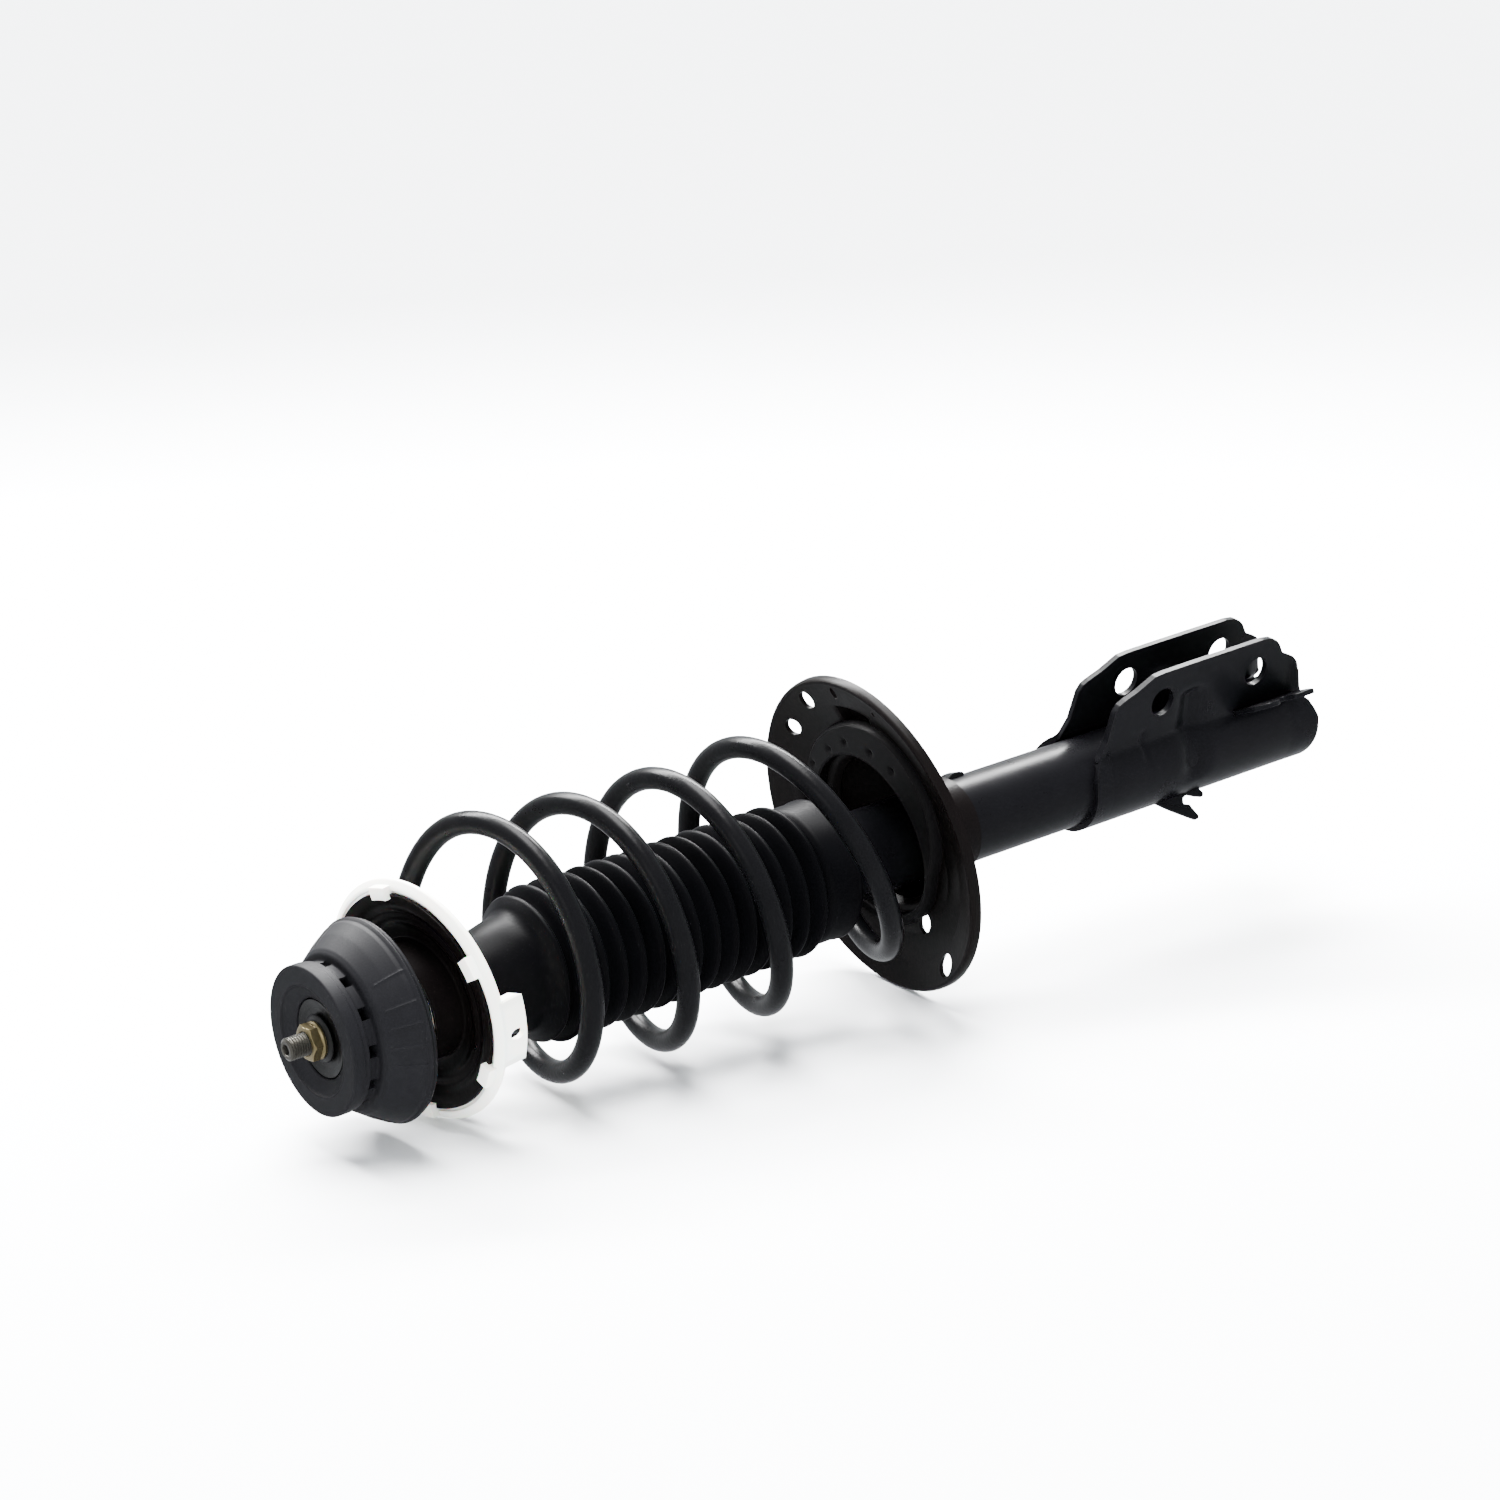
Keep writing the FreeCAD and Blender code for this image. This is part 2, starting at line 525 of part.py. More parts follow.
def knuckle_bracket():
    width = "clevis_gap + 2 * bracket_sheet"
    ears = slab("ear_blank", [
        ("bracket_start", "0"), ("bracket_start", "16"),
        ("523", "21"), ("530", "33"), ("534", "52"),
        ("541", "56"), ("551", "59.5"), ("564", "65.8"), ("600", "67"), ("653", "67.5"),
        ("660", "66.6"), ("668", "61"), ("672", "54"), ("682", "49"), ("687", "40"),
        ("bracket_end", "24"), ("bracket_end", "0")], width)
    collar = rod_tool("collar_blank", "tube_radius + bracket_sheet", "bracket_start",
                      "bracket_end - bracket_start")
    solid = ring_of([ears, collar], "bracket_blank")
    hollow = rod_tool("tube_seat", "tube_radius", "bracket_start - 5",
                      "bracket_end - bracket_start + 10")
    gap = slab("clevis_space", [
        ("bracket_start - 5", "0"), ("bracket_start - 5", "80"),
        ("bracket_end + 5", "80"), ("bracket_end + 5", "0")], "clevis_gap")
    holes = []
    for index in range(2):
        hole = doc.addObject("Part::Cylinder", f"bolt_hole_{index}")
        hole.setExpression("Radius", bind("hole_radius"))
        hole.Height = 60
        spot = Vector(size(f"hole_upper + hole_spacing * {index}"), 30, size("hole_height"))
        hole.Placement = Placement(spot, Rotation(Vector(0, 0, 1), Vector(0, -1, 0)))
        holes.append(hole)
    shape = cut("bracket_upright", solid, ring_of([hollow, gap] + holes, "bracket_tools"), kept=False)
    shape.Placement = ROLL
    keep(shape, "knuckle_bracket")


def hose_bracket():
    """A slotted shelf that stands out and up from the near ear and carries the hose's clip."""
    root = Placement(Vector(634, -17.2, 24.5), Rotation(Vector(1, 0, 0), 148))
    shelf = doc.addObject("Part::Box", "hose_shelf")
    shelf.Length, shelf.Width, shelf.Height = 50, 27, 3
    shelf.Placement = root
    slot = doc.addObject("Part::Box", "hose_slot")
    slot.Length, slot.Width, slot.Height = 12, 16, 9
    slot.Placement = root.multiply(Placement(Vector(18, 13, -3), Rotation()))
    plate = cut("hose_plate", shelf, slot, kept=False)
    plate.Placement = ROLL
    keep(plate, "hose_bracket")


def sensor_bracket():
    """A forked tab under the collar that holds the wheel sensor's wire."""
    tab = slab("sensor_tab", [
        ("573", "27.6"), ("609", "27.6"), ("609", "31"), ("597", "29.5"), ("594", "34"), ("601", "38"),
        ("602", "45"), ("598", "45")], "2.5", "XZ_Plane",
        Placement(Vector(0, 0, 0), Rotation(Vector(1, 0, 0), 148)))
    clear = rod_tool("sensor_clear", "tube_radius + bracket_sheet", 560, 60)
    cut("sensor_wire_bracket", tab, clear)


def tube_clip():
    """A small tab on top of the tube, behind the lower seat."""
    tab = doc.addObject("Part::Box", "tube_tab")
    tab.Length, tab.Width, tab.Height = 13, 9, 6
    tab.Placement = Placement(Vector(430, 4, 22), Rotation(Vector(1, 0, 0), -12))
    clear = rod_tool("tube_tab_clear", "tube_radius", 420, 40)
    cut("harness_tab", tab, clear)


def build():
    damper()
    piston_rod()
    piston_group()
    top_mount()
    rod_nut()
    steering_bearing()
    upper_seat()
    dust_boot()
    lower_seat()
    seat_rubber()
    coil_spring()
    knuckle_bracket()
    hose_bracket()
    sensor_bracket()
    tube_clip()
    doc.recompute()


def check():
    """Stop if any object failed or any kept piece isn't a valid solid."""
    for item in doc.Objects:
        if "Invalid" in item.State or "Error" in item.State:
            raise RuntimeError(f"{item.Label} is in state {item.State}")
    for part in sub_parts:
        shape = part.Shape
        if shape.isNull() or not shape.isValid() or shape.Volume <= 0:
            raise RuntimeError(f"{part.Label} has no valid shape")
        box = shape.BoundBox
        print("%-20s solids %2d volume %9.0f  X %6.1f..%6.1f  Y %6.1f..%6.1f  Z %6.1f..%6.1f"
              % (part.Label, len(shape.Solids), shape.Volume, box.XMin, box.XMax,
                 box.YMin, box.YMax, box.ZMin, box.ZMax))


def write():
    os.makedirs("parts", exist_ok=True)
    for part in sub_parts:
        part.Shape.exportStep(f"parts/{part.Label}.step")
    print(len(sub_parts), "parts written")


build()
check()
write()
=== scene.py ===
# %% [markdown]
# # A front suspension strut, dressed around its CAD frame
#
# The CAD model gives every piece its place and size. This lesson builds the finished surfaces on it:
# each one is a grid of points worked out with numpy, closed into a solid and given a procedural
# material; all but the boot and the coil are tied to the CAD body they move with. Lengths are in
# millimetres until a mesh is made.
# X runs along the damper from the top mount to the knuckle bracket and Z is up. Angles go from
# Z towards +Y.

# %% Load the frame
import json
import math

import bpy
import numpy as np
from mathutils import Matrix, Vector


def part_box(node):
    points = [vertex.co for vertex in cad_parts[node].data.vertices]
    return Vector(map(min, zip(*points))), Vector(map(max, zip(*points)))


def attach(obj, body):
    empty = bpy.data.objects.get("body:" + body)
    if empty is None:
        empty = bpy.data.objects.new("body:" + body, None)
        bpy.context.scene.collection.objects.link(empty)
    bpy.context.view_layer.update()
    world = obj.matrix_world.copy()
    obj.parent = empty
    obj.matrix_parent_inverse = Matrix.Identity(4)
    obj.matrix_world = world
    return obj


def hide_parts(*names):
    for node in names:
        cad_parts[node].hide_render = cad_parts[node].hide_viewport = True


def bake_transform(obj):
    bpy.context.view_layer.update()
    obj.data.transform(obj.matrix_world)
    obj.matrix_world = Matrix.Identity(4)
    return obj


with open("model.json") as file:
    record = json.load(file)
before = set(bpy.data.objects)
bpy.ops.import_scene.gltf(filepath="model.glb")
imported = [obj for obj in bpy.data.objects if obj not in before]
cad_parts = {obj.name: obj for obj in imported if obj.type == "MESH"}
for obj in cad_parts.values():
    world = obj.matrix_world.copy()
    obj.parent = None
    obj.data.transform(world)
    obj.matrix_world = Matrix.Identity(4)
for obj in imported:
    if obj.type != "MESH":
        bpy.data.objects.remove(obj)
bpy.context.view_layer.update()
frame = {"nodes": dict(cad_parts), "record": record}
record = frame["record"]
SLOT = {entry["node"]: entry["material_slot"] for entry in record["subparts"]}
BODY = {node: body for body, nodes in record["behaviour"]["bodies"].items() for node in nodes}
TURN = 2 * math.pi


def box_mm(node):
    """A CAD node's lowest and highest corners in millimetres."""
    low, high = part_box(node)
    return np.array(low) * 1000, np.array(high) * 1000


# %% [markdown]
# ## Tools for shapes
#
# Nearly everything on a strut is either turned on a lathe, pressed from sheet or bent from wire.
# So there is one tool for each: `turned` spins an outline, `sheet_faces` gives a grid a thickness,
# and `swept` carries a circle along a path. `rounded` first rounds an outline's corners, because
# a real edge always catches a line of light.

# %% Outline and grid tools
def rounded(outline, radius, steps=5):
    """Each corner of a closed outline becomes a quadratic curve that starts and ends a distance
    `radius` from it, or just under half a side where the sides are short."""
    corner = np.asarray(outline, float)
    before, after = np.roll(corner, 1, 0) - corner, np.roll(corner, -1, 0) - corner
    length_before = np.linalg.norm(before, axis=1, keepdims=True)
    length_after = np.linalg.norm(after, axis=1, keepdims=True)
    reach = np.minimum(radius, 0.45 * np.minimum(length_before, length_after))
    start = corner + before / length_before * reach
    end = corner + after / length_after * reach
    t = np.linspace(0, 1, steps)[None, :, None]
    curve = (1 - t) ** 2 * start[:, None] + 2 * t * (1 - t) * corner[:, None] + t ** 2 * end[:, None]
    return curve.reshape(-1, corner.shape[1])


def turned(outline, segments=144, change=None):
    """Spins (along, radius) points about X: y = radius sin(angle), z = radius cos(angle).
    `change(along, angle)` adds to the radius."""
    angle = np.linspace(0, TURN, segments, endpoint=False)[None, :]
    along, radius = (column[:, None] for column in np.asarray(outline, float).T)
    along = along + 0 * angle
    radius = radius + 0 * angle
    if change is not None:
        radius = radius + change(along, angle)
    return np.stack([along, radius * np.sin(angle), radius * np.cos(angle)], axis=-1)


def grid_faces(rows, columns, wrap_rows, wrap_columns):
    """The four corner numbers of each cell of a grid, joined round where it wraps."""
    number = np.arange(rows * columns).reshape(rows, columns)
    if wrap_rows:
        number = np.vstack([number, number[:1]])
    if wrap_columns:
        number = np.hstack([number, number[:, :1]])
    cells = (number[:-1, :-1], number[1:, :-1], number[1:, 1:], number[:-1, 1:])
    return np.stack(cells, axis=-1).reshape(-1, 4)


def closed_grid(points, wrap_rows=True):
    """A grid wrapped round its columns. Its rows also wrap, or its first and last rows are
    closed with one face each."""
    rows, columns = points.shape[:2]
    faces = grid_faces(rows, columns, wrap_rows, True).tolist()
    if not wrap_rows:
        faces += [list(range(columns))[::-1], list(range((rows - 1) * columns, rows * columns))]
    return points.reshape(-1, 3), faces


def sheet_faces(middle, thickness, wrap=False):
    """A sheet of even thickness whose middle surface is a grid: each point moves half the
    thickness along the surface's normal to each side, and the borders are joined."""
    ends = (middle[:, -1:], middle[:, :1]) if wrap else (2 * middle[:, :1] - middle[:, 1:2],
                                                          2 * middle[:, -1:] - middle[:, -2:-1])
    padded = np.concatenate([ends[0], middle, ends[1]], axis=1)
    down = np.gradient(middle, axis=0)
    across = (padded[:, 2:] - padded[:, :-2]) / 2
    normal = np.cross(down, across)
    normal /= np.maximum(np.linalg.norm(normal, axis=-1, keepdims=True), 1e-9)
    rows, columns = middle.shape[:2]
    count = rows * columns
    points = np.concatenate([(middle + side * thickness / 2 * normal).reshape(-1, 3) for side in (1, -1)])
    top = grid_faces(rows, columns, False, wrap)
    number = np.arange(count).reshape(rows, columns)
    if wrap:
        borders = [(number[0], np.roll(number[0], -1)), (np.roll(number[-1], -1), number[-1])]
    else:
        loop = np.concatenate([number[0], number[1:, -1], number[-1, -2::-1], number[-2:0:-1, 0]])
        borders = [(loop, np.roll(loop, -1))]
    sides = [np.stack([a, b, b + count, a + count], axis=-1) for a, b in borders]
    faces = np.concatenate([top, top[:, ::-1] + count] + sides)
    return points, faces.tolist()


def tilted(points, centre, normal):
    """Points drawn about X, turned so that X lies along a tilted seat's normal, then moved."""
    turn = Vector((1, 0, 0)).rotation_difference(Vector(normal)).to_matrix()
    return points @ np.array(turn).T + np.asarray(centre)


def plate(outline, thickness, inset=0.4):
    """A flat plate from an (x, y) outline: four rings, the outer two a little inside, and a face
    at each end. Returns points with z through the thickness."""
    edge = np.asarray(outline, float)
    along = np.roll(edge, -1, 0) - np.roll(edge, 1, 0)
    outward = np.stack([along[:, 1], -along[:, 0]], axis=-1)
    outward /= np.linalg.norm(outward, axis=1, keepdims=True)
    area = np.sum(edge[:, 0] * np.roll(edge[:, 1], -1) - edge[:, 1] * np.roll(edge[:, 0], -1))
    inner = edge - outward * inset * np.sign(area)
    half = thickness / 2
    heights = ((inner, -half), (edge, inset - half), (edge, half - inset), (inner, half))
    return np.stack([np.column_stack([ring, np.full(len(ring), z)]) for ring, z in heights])


def smooth_step(value, start, end):
    """0 before start, 1 after end, and a smooth rise between them."""
    t = np.clip((value - start) / (end - start), 0, 1)
    return t * t * (3 - 2 * t)


# %% [markdown]
# ## Making a piece
#
# `piece` turns points and faces into an object. It turns the faces outward by the sign of the
# volume, keeps sharp only the edges that bend more than a set angle, and ties the object to the
# body of the CAD node that it stands for. Holes are taken out with a boolean.

# %% Piece and hole tools
def outward_faces(points, faces):
    """The faces, reversed if the solid they close has a negative volume."""
    fan = [(face[0], face[i], face[i + 1]) for face in faces for i in range(1, len(face) - 1)]
    a, b, c = (points[list(column)] for column in zip(*fan))
    volume = np.einsum("ij,ij->i", a, np.cross(b, c)).sum()
    return [face[::-1] for face in faces] if volume < 0 else faces


def make_object(name, solids, crease=32):
    """One object from a list of (points, faces) solids in millimetres."""
    points, faces, offset = [], [], 0
    for solid_points, solid_faces in solids:
        faces += [[n + offset for n in face] for face in outward_faces(solid_points, solid_faces)]
        points.append(solid_points)
        offset += len(solid_points)
    mesh = bpy.data.meshes.new(name)
    mesh.from_pydata((np.concatenate(points) / 1000).tolist(), [], faces)
    mesh.shade_smooth()
    mesh.set_sharp_from_angle(angle=math.radians(crease))
    thing = bpy.data.objects.new(name, mesh)
    bpy.context.scene.collection.objects.link(thing)
    return thing


def cut_holes(thing, cutters, crease=32):
    """Takes closed cutter solids out of an object's mesh."""
    tool = make_object(thing.name + "_holes", cutters)
    cut = thing.modifiers.new("holes", "BOOLEAN")
    cut.operation, cut.solver, cut.object = "DIFFERENCE", "EXACT", tool
    bpy.context.view_layer.update()
    graph = bpy.context.evaluated_depsgraph_get()
    mesh = bpy.data.meshes.new_from_object(thing.evaluated_get(graph))
    thing.modifiers.clear()
    thing.data = mesh
    mesh.shade_smooth()
    mesh.set_sharp_from_angle(angle=math.radians(crease))
    bpy.data.objects.remove(tool)


def piece(thing, node, material, ride=True):
    """The object takes a CAD node's place, which is hidden, and the given material; when it rides, also
    the node's body.
    """
    thing.data.materials.clear()
    thing.data.materials.append(material)
    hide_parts(node)
    if ride:
        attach(thing, BODY[node])
    print("%-22s %6d faces, rides on %s" % (thing.name, len(thing.data.polygons), BODY[node]))
    return thing


# %% [markdown]
# ## Materials
#
# A strut has few finishes: satin black paint on the welded steel, electrocoat on the pressings,
# powder on the spring, plain rubber, natural nylon, yellow zinc and bare steel. Each is a
# Principled shader whose roughness and bump come from noise with a stated size in millimetres.
# Object coordinates are in metres, so a pattern of `p` millimetres has a scale of 1000 / p.

# %% Material tools
def colour(hex_code):
    """An sRGB hex code as a linear colour."""
    parts = np.array([int(hex_code[i:i + 2], 16) for i in (1, 3, 5)]) / 255
    linear = np.where(parts <= 0.04045, parts / 12.92, ((parts + 0.055) / 1.055) ** 2.4)
    return (*linear.tolist(), 1.0)


def add(tree, kind, inputs=(), **settings):
    """Adds a node. `inputs` maps a socket to a value or to another node's output."""
    node = tree.nodes.new(kind)
    for key, value in settings.items():
        setattr(node, key, value)
    for key, value in dict(inputs).items():
        if isinstance(value, bpy.types.NodeSocket):
            tree.links.new(value, node.inputs[key])
        else:
            node.inputs[key].default_value = value
    return node


# A Mix node has the same socket names for numbers, vectors and colours: these are the colours' places.
FIRST_COLOUR, SECOND_COLOUR, MIXED_COLOUR = 6, 7, 2


def finish(name, base, tint, roughness, spread, cloud_mm, grain_mm, bump, metallic=0.0, coat=0.0,
           specular=0.5, subsurface=0.0):
    """A surface between two colours and two roughnesses, both led by a soft noise, under a fine
    grain that only bends the light."""
    material = bpy.data.materials.new(name)
    material.use_nodes = True
    tree = material.node_tree
    tree.nodes.clear()
    place = add(tree, "ShaderNodeTexCoord").outputs["Object"]
    cloud = add(tree, "ShaderNodeTexNoise", {"Vector": place, "Scale": 1000 / cloud_mm, "Detail": 5.0,
                                             "Roughness": 0.6})
    grain = add(tree, "ShaderNodeTexNoise", {"Vector": place, "Scale": 1000 / grain_mm, "Detail": 2.0})
    shade = add(tree, "ShaderNodeMix", {"Factor": cloud.outputs["Fac"], FIRST_COLOUR: colour(base),
                                        SECOND_COLOUR: colour(tint)}, data_type="RGBA")
    wear = add(tree, "ShaderNodeMapRange", {"Value": cloud.outputs["Fac"], "From Min": 0.3,
                                            "From Max": 0.7, "To Min": roughness - spread,
                                            "To Max": roughness + spread})
    relief = add(tree, "ShaderNodeBump", {"Height": grain.outputs["Fac"], "Strength": bump,
                                          "Distance": grain_mm / 4000})
    surface = add(tree, "ShaderNodeBsdfPrincipled", {
        "Base Color": shade.outputs[MIXED_COLOUR], "Roughness": wear.outputs["Result"],
        "Normal": relief.outputs["Normal"],
        "Metallic": metallic, "Coat Weight": coat, "Coat Roughness": 0.2,
        "Specular IOR Level": specular, "Subsurface Weight": subsurface, "Subsurface Scale": 0.002})
    output = add(tree, "ShaderNodeOutputMaterial")
    tree.links.new(surface.outputs[0], output.inputs["Surface"])
    return material


# %% The finishes
# Satin black stove enamel over a blasted tube: a little uneven, with broad soft highlights.
black_paint = finish("satin_black_paint", "#050506", "#08080a", 0.30, 0.04, 30, 1.6, 0.08,
                     specular=0.035)
# Electrocoat on deep-drawn sheet: a brown-black, smoother than paint.
electrocoat = finish("black_electrocoat", "#050404", "#080606", 0.33, 0.05, 26, 2.2, 0.1,
                     specular=0.025)
# Powder coat on the spring: thick and slightly wavy.
powder_coat = finish("black_powder_coat", "#050506", "#080809", 0.29, 0.03, 18, 2.4, 0.12,
                     specular=0.035)
# Moulded natural rubber on the top mount, with a dry grey bloom.
mount_rubber = finish("moulded_rubber", "#0a0a0c", "#101012", 0.56, 0.05, 16, 0.9, 0.2, specular=0.04)
# Blow-moulded boot: darker and smoother than the mount.
boot_rubber = finish("boot_rubber", "#030304", "#050506", 0.42, 0.05, 22, 1.4, 0.1, specular=0.014)
# The coil's rubber seat, dusty from the mould.
seat_rubber = finish("seat_rubber", "#050505", "#090809", 0.5, 0.05, 14, 1.0, 0.2, specular=0.03)
# Natural nylon: cream white, a little translucent.
nylon = finish("natural_nylon", "#f8f7ea", "#fffef5", 0.42, 0.05, 25, 1.2, 0.06, subsurface=0.2)
# Yellow passivated zinc on the nut.
zinc = finish("yellow_zinc", "#5c5238", "#70664a", 0.34, 0.06, 5, 0.5, 0.15, metallic=0.9)
# Bare machined steel: the rod's thread and the parts inside.
steel = finish("machined_steel", "#33322e", "#45433d", 0.38, 0.08, 4, 0.4, 0.2, metallic=0.9)
# Hard chrome on the rod.
chrome = finish("hard_chrome", "#8f9196", "#9c9ea3", 0.12, 0.03, 30, 0.6, 0.02, metallic=1.0)
# Dark grey steel, darker than the bare steel: the washer and the core inside the mount.
dark_steel = finish("dark_grey_steel", "#0b0b0b", "#121211", 0.42, 0.08, 8, 0.6, 0.2, metallic=0.7)
# Cellular polyurethane of the bump stop.
foam = finish("cellular_urethane", "#a8935a", "#b8a46c", 0.8, 0.05, 6, 0.8, 0.4)
BY_SLOT = {
    "black_paint": black_paint, "black_ecoat": electrocoat, "powder_coat": powder_coat,
    "bare_steel": steel, "chromed_rod": chrome, "sintered_steel": dark_steel, "bronze_liner": zinc,
    "yellow_zinc": zinc, "seal_rubber": boot_rubber, "mount_rubber": mount_rubber,
    "boot_rubber": boot_rubber, "seat_rubber": seat_rubber, "ptfe_band": dark_steel,
    "white_nylon": nylon, "foam_urethane": foam}
for node, thing in frame["nodes"].items():
    thing.data.materials.clear()
    thing.data.materials.append(BY_SLOT[SLOT[node]])
print(len(BY_SLOT), "slots have a finish")

# %% [markdown]
# ## The threaded rod
#
# A thread is a turned surface whose radius depends on where a point is on the helix: the ridge's
# phase is the distance along the rod less one pitch for each turn of angle. The hexagon socket is
# the same surface carried inward over the end and down, with a hexagon's radius for each angle.

# %% Build the rod
HEX = math.pi / 3


def hexagon_radius(angle, flats):
    """Distance from a hexagon's centre to its side in the direction of an angle."""
    return flats / 2 / np.cos((angle + HEX / 2) % HEX - HEX / 2)


def rod_points():
    """Rows from the socket's floor, up its six sides, over the tip and along the thread to the
    plain rod and the piston's seat."""
    tip = box_mm("piston_rod")[0][0]
    end = box_mm("piston_rod")[1][0]
    pitch, thread_end, columns = 1.5, 8.6, 96
    angle = np.linspace(0, TURN, columns, endpoint=False)
    socket = hexagon_radius(angle, 5.4)
    along = np.arange(tip + 0.9, thread_end, pitch / 14)
    wave = np.abs(((along[:, None] / pitch - angle / TURN) % 1) * 2 - 1)
    depth = 0.75 * smooth_step(along, tip + 0.9, tip + 2.2)[:, None]
    thread = 5.98 - depth * smooth_step(wave, 0.1, 0.85)
    head = [(tip + 6.5, socket * 0.1), (tip + 5.2, socket * 0.97), (tip + 0.5, socket),
            (tip + 0.05, socket + 0.3), (tip, socket + 0.6), (tip, 4.7 + 0 * angle),
            (tip + 0.3, 5.05 + 0 * angle)]
    tail = [(9.0, 6.0), (9.0, 9.4), (9.6, 10.0), (399.5, 10.0), (400.0, 9.6), (400.0, 6.0),
            (end - 1, 6.0), (end, 5.2)]
    rows_along = np.concatenate([[row[0] for row in head], along, [row[0] for row in tail]])
    rows_radius = np.concatenate([np.array([row[1] for row in head]), thread,
                                  np.array([[row[1]] * columns for row in tail])])
    x = rows_along[:, None] + 0 * rows_radius
    return np.stack([x, rows_radius * np.sin(angle), rows_radius * np.cos(angle)], axis=-1)


rod = make_object("rod", [closed_grid(rod_points(), wrap_rows=False)], crease=40)
piece(rod, "piston_rod", steel)
rod.data.materials.append(chrome)
centres = np.array([face.center.x for face in rod.data.polygons]) * 1000
rod.data.polygons.foreach_set("material_index", ((centres > 9) & (centres < 401)).astype(np.int32))

# %% [markdown]
# ## Nut, washer and core
#
# The nut's hexagon is a turned row with the hexagon's radius, limited near each end by a cone:
# that is how a real nut gets its curved chamfers. The washer and the mount's steel core are plain
# turned rings.

# %% Build the nut, washer and core
def nut_points():
    """Closed rows (along, round radius, is hexagon) from the bore over the top to the flange."""
    low, high = box_mm("rod_nut")[0][0], box_mm("rod_nut")[1][0]
    angle = np.linspace(0, TURN, 192, endpoint=False)
    flats = 17.5
    body = np.linspace(low + 0.2, high - 2.3, 24)
    cone = np.minimum(8.3 + (body - low) * 1.7, 11.2)
    rows = [(low + 0.8, 6.05, 0), (low, 6.8, 0), (low, 7.9, 0)]
    rows += [(x, r, 1) for x, r in zip(body, cone)]
    rows += [(high - 2.2, 9.4, 0), (high - 1.9, 9.7, 0), (high - 1.3, 10.2, 0), (high - 0.3, 10.25, 0),
             (high, 10.0, 0), (high, 6.05, 0)]
    along, radius, six = (np.array(column)[:, None] for column in zip(*rows))
    radius = np.where(six > 0, np.minimum(radius, hexagon_radius(angle, flats)), radius + 0 * angle)
    return np.stack([along + 0 * radius, radius * np.sin(angle), radius * np.cos(angle)], axis=-1)


nut = make_object("nut", [closed_grid(nut_points())], crease=30)
piece(nut, "rod_nut", zinc)

washer_outline = [(3.4, 6.3), (3.4, 10.2), (4.4, 12.6), (5.4, 13), (6, 10), (6, 6.3)]
washer = make_object("washer", [closed_grid(turned(rounded(washer_outline, 0.5)))])
piece(washer, "rebound_washer", dark_steel)

core_outline = [(7.4, 6.1), (6.8, 16), (5.2, 20.8), (23, 20.8), (23, 19), (9, 19), (9, 6.1)]
core = make_object("core", [closed_grid(turned(rounded(core_outline, 0.6)))])
piece(core, "mount_core", dark_steel)

# %% [markdown]
# ## The rubber mount
#
# One rubber moulding: a flat buffer disc, a grooved neck with windows, and a cone whose thin ribs
# are left by the mould. It could be a lathe shape with parts stuck on, but the windows and ribs are
# simply changes of radius over the angle, so the whole moulding stays one closed surface.

# %% Build the mount
def box_wave(value, half_width, soft):
    """1 within half_width of zero, falling to 0 over a soft border."""
    return 1 - smooth_step(np.abs(value), half_width - soft, half_width + soft)


def nearest(angle, centres):
    """Signed distance round the circle to the nearest of several angles, all in degrees."""
    gaps = (angle[..., None] - np.asarray(centres) + 180) % 360 - 180
    index = np.argmin(np.abs(gaps), axis=-1)
    return np.take_along_axis(gaps, index[..., None], axis=-1)[..., 0]


def mount_change(along, angle):
    """Windows cut into the neck, thin ribs on the cone and two shallow steps under its rim."""
    degrees = np.degrees(angle) + 0 * along
    outside = np.where(along > 10.4, 1.0, 0.0)
    windows = nearest(degrees, np.arange(2.7, 360, 30))
    cut = 7.0 * box_wave(windows, 4.6, 0.35) * box_wave(along - 13.4, 2.0, 0.3)
    ribs = nearest(degrees, (-44, -62, -74, -86, -98, 30, 95, 150, 200))
    rib = 0.45 * box_wave(ribs, 0.55, 0.3) * smooth_step(along, 20, 21) * (1 - smooth_step(along, 35, 37))
    return outside * (rib - cut)


def mount_outline():
    """The closed outline: recess, buffer face, side, groove, cone, lip and the inside."""
    end = box_mm("mount_rubber")[1][0]
    outer = [(5.2, 21.0), (3.4, 25.0), (2.0, 27.8), (1.0, 29.0), (0.0, 29.6), (0.0, 40.0), (6.6, 40.0),
             (7.0, 39.4),
             (10.2, 39.4), (10.8, 37.6), (11.4, 37.6), (15.6, 37.6), (16.0, 41.2), (17.0, 42.6)]
    cone_along = np.linspace(18, end - 3.4, 26)
    cone_radius = np.interp(cone_along, [18, 26, 33, 35.6, 36.4, 39], [43.5, 49, 53.0, 53.6, 54.8, 54.6])
    cone = np.column_stack([cone_along, cone_radius])
    lip = [(end - 2.2, 53.9), (end - 0.6, 53.6), (end, 52.6), (end, 50.0), (end - 5, 49), (end - 5, 34),
           (16, 26), (16, 21)]
    fine = np.concatenate([rounded(outer, 1.2)[2:], cone, rounded(lip, 0.8)])
    length = np.concatenate([[0], np.cumsum(np.linalg.norm(np.diff(fine, axis=0), axis=1))])
    keep = np.concatenate([[True], np.diff(length) > 1e-3])
    return fine[keep]


def refined(outline, step):
    """The outline with more points, so that no side is longer than a step."""
    closed = np.vstack([outline, outline[:1]])
    length = np.concatenate([[0], np.cumsum(np.linalg.norm(np.diff(closed, axis=0), axis=1))])
    even = np.arange(0, length[-1], step)
    spots = np.unique(np.concatenate([even, length[:-1]]))
    return np.column_stack([np.interp(spots, length, closed[:, i]) for i in (0, 1)])


mount = make_object("mount", [closed_grid(turned(refined(mount_outline(), 1.3), 420, mount_change))], 34)
piece(mount, "mount_rubber", mount_rubber)

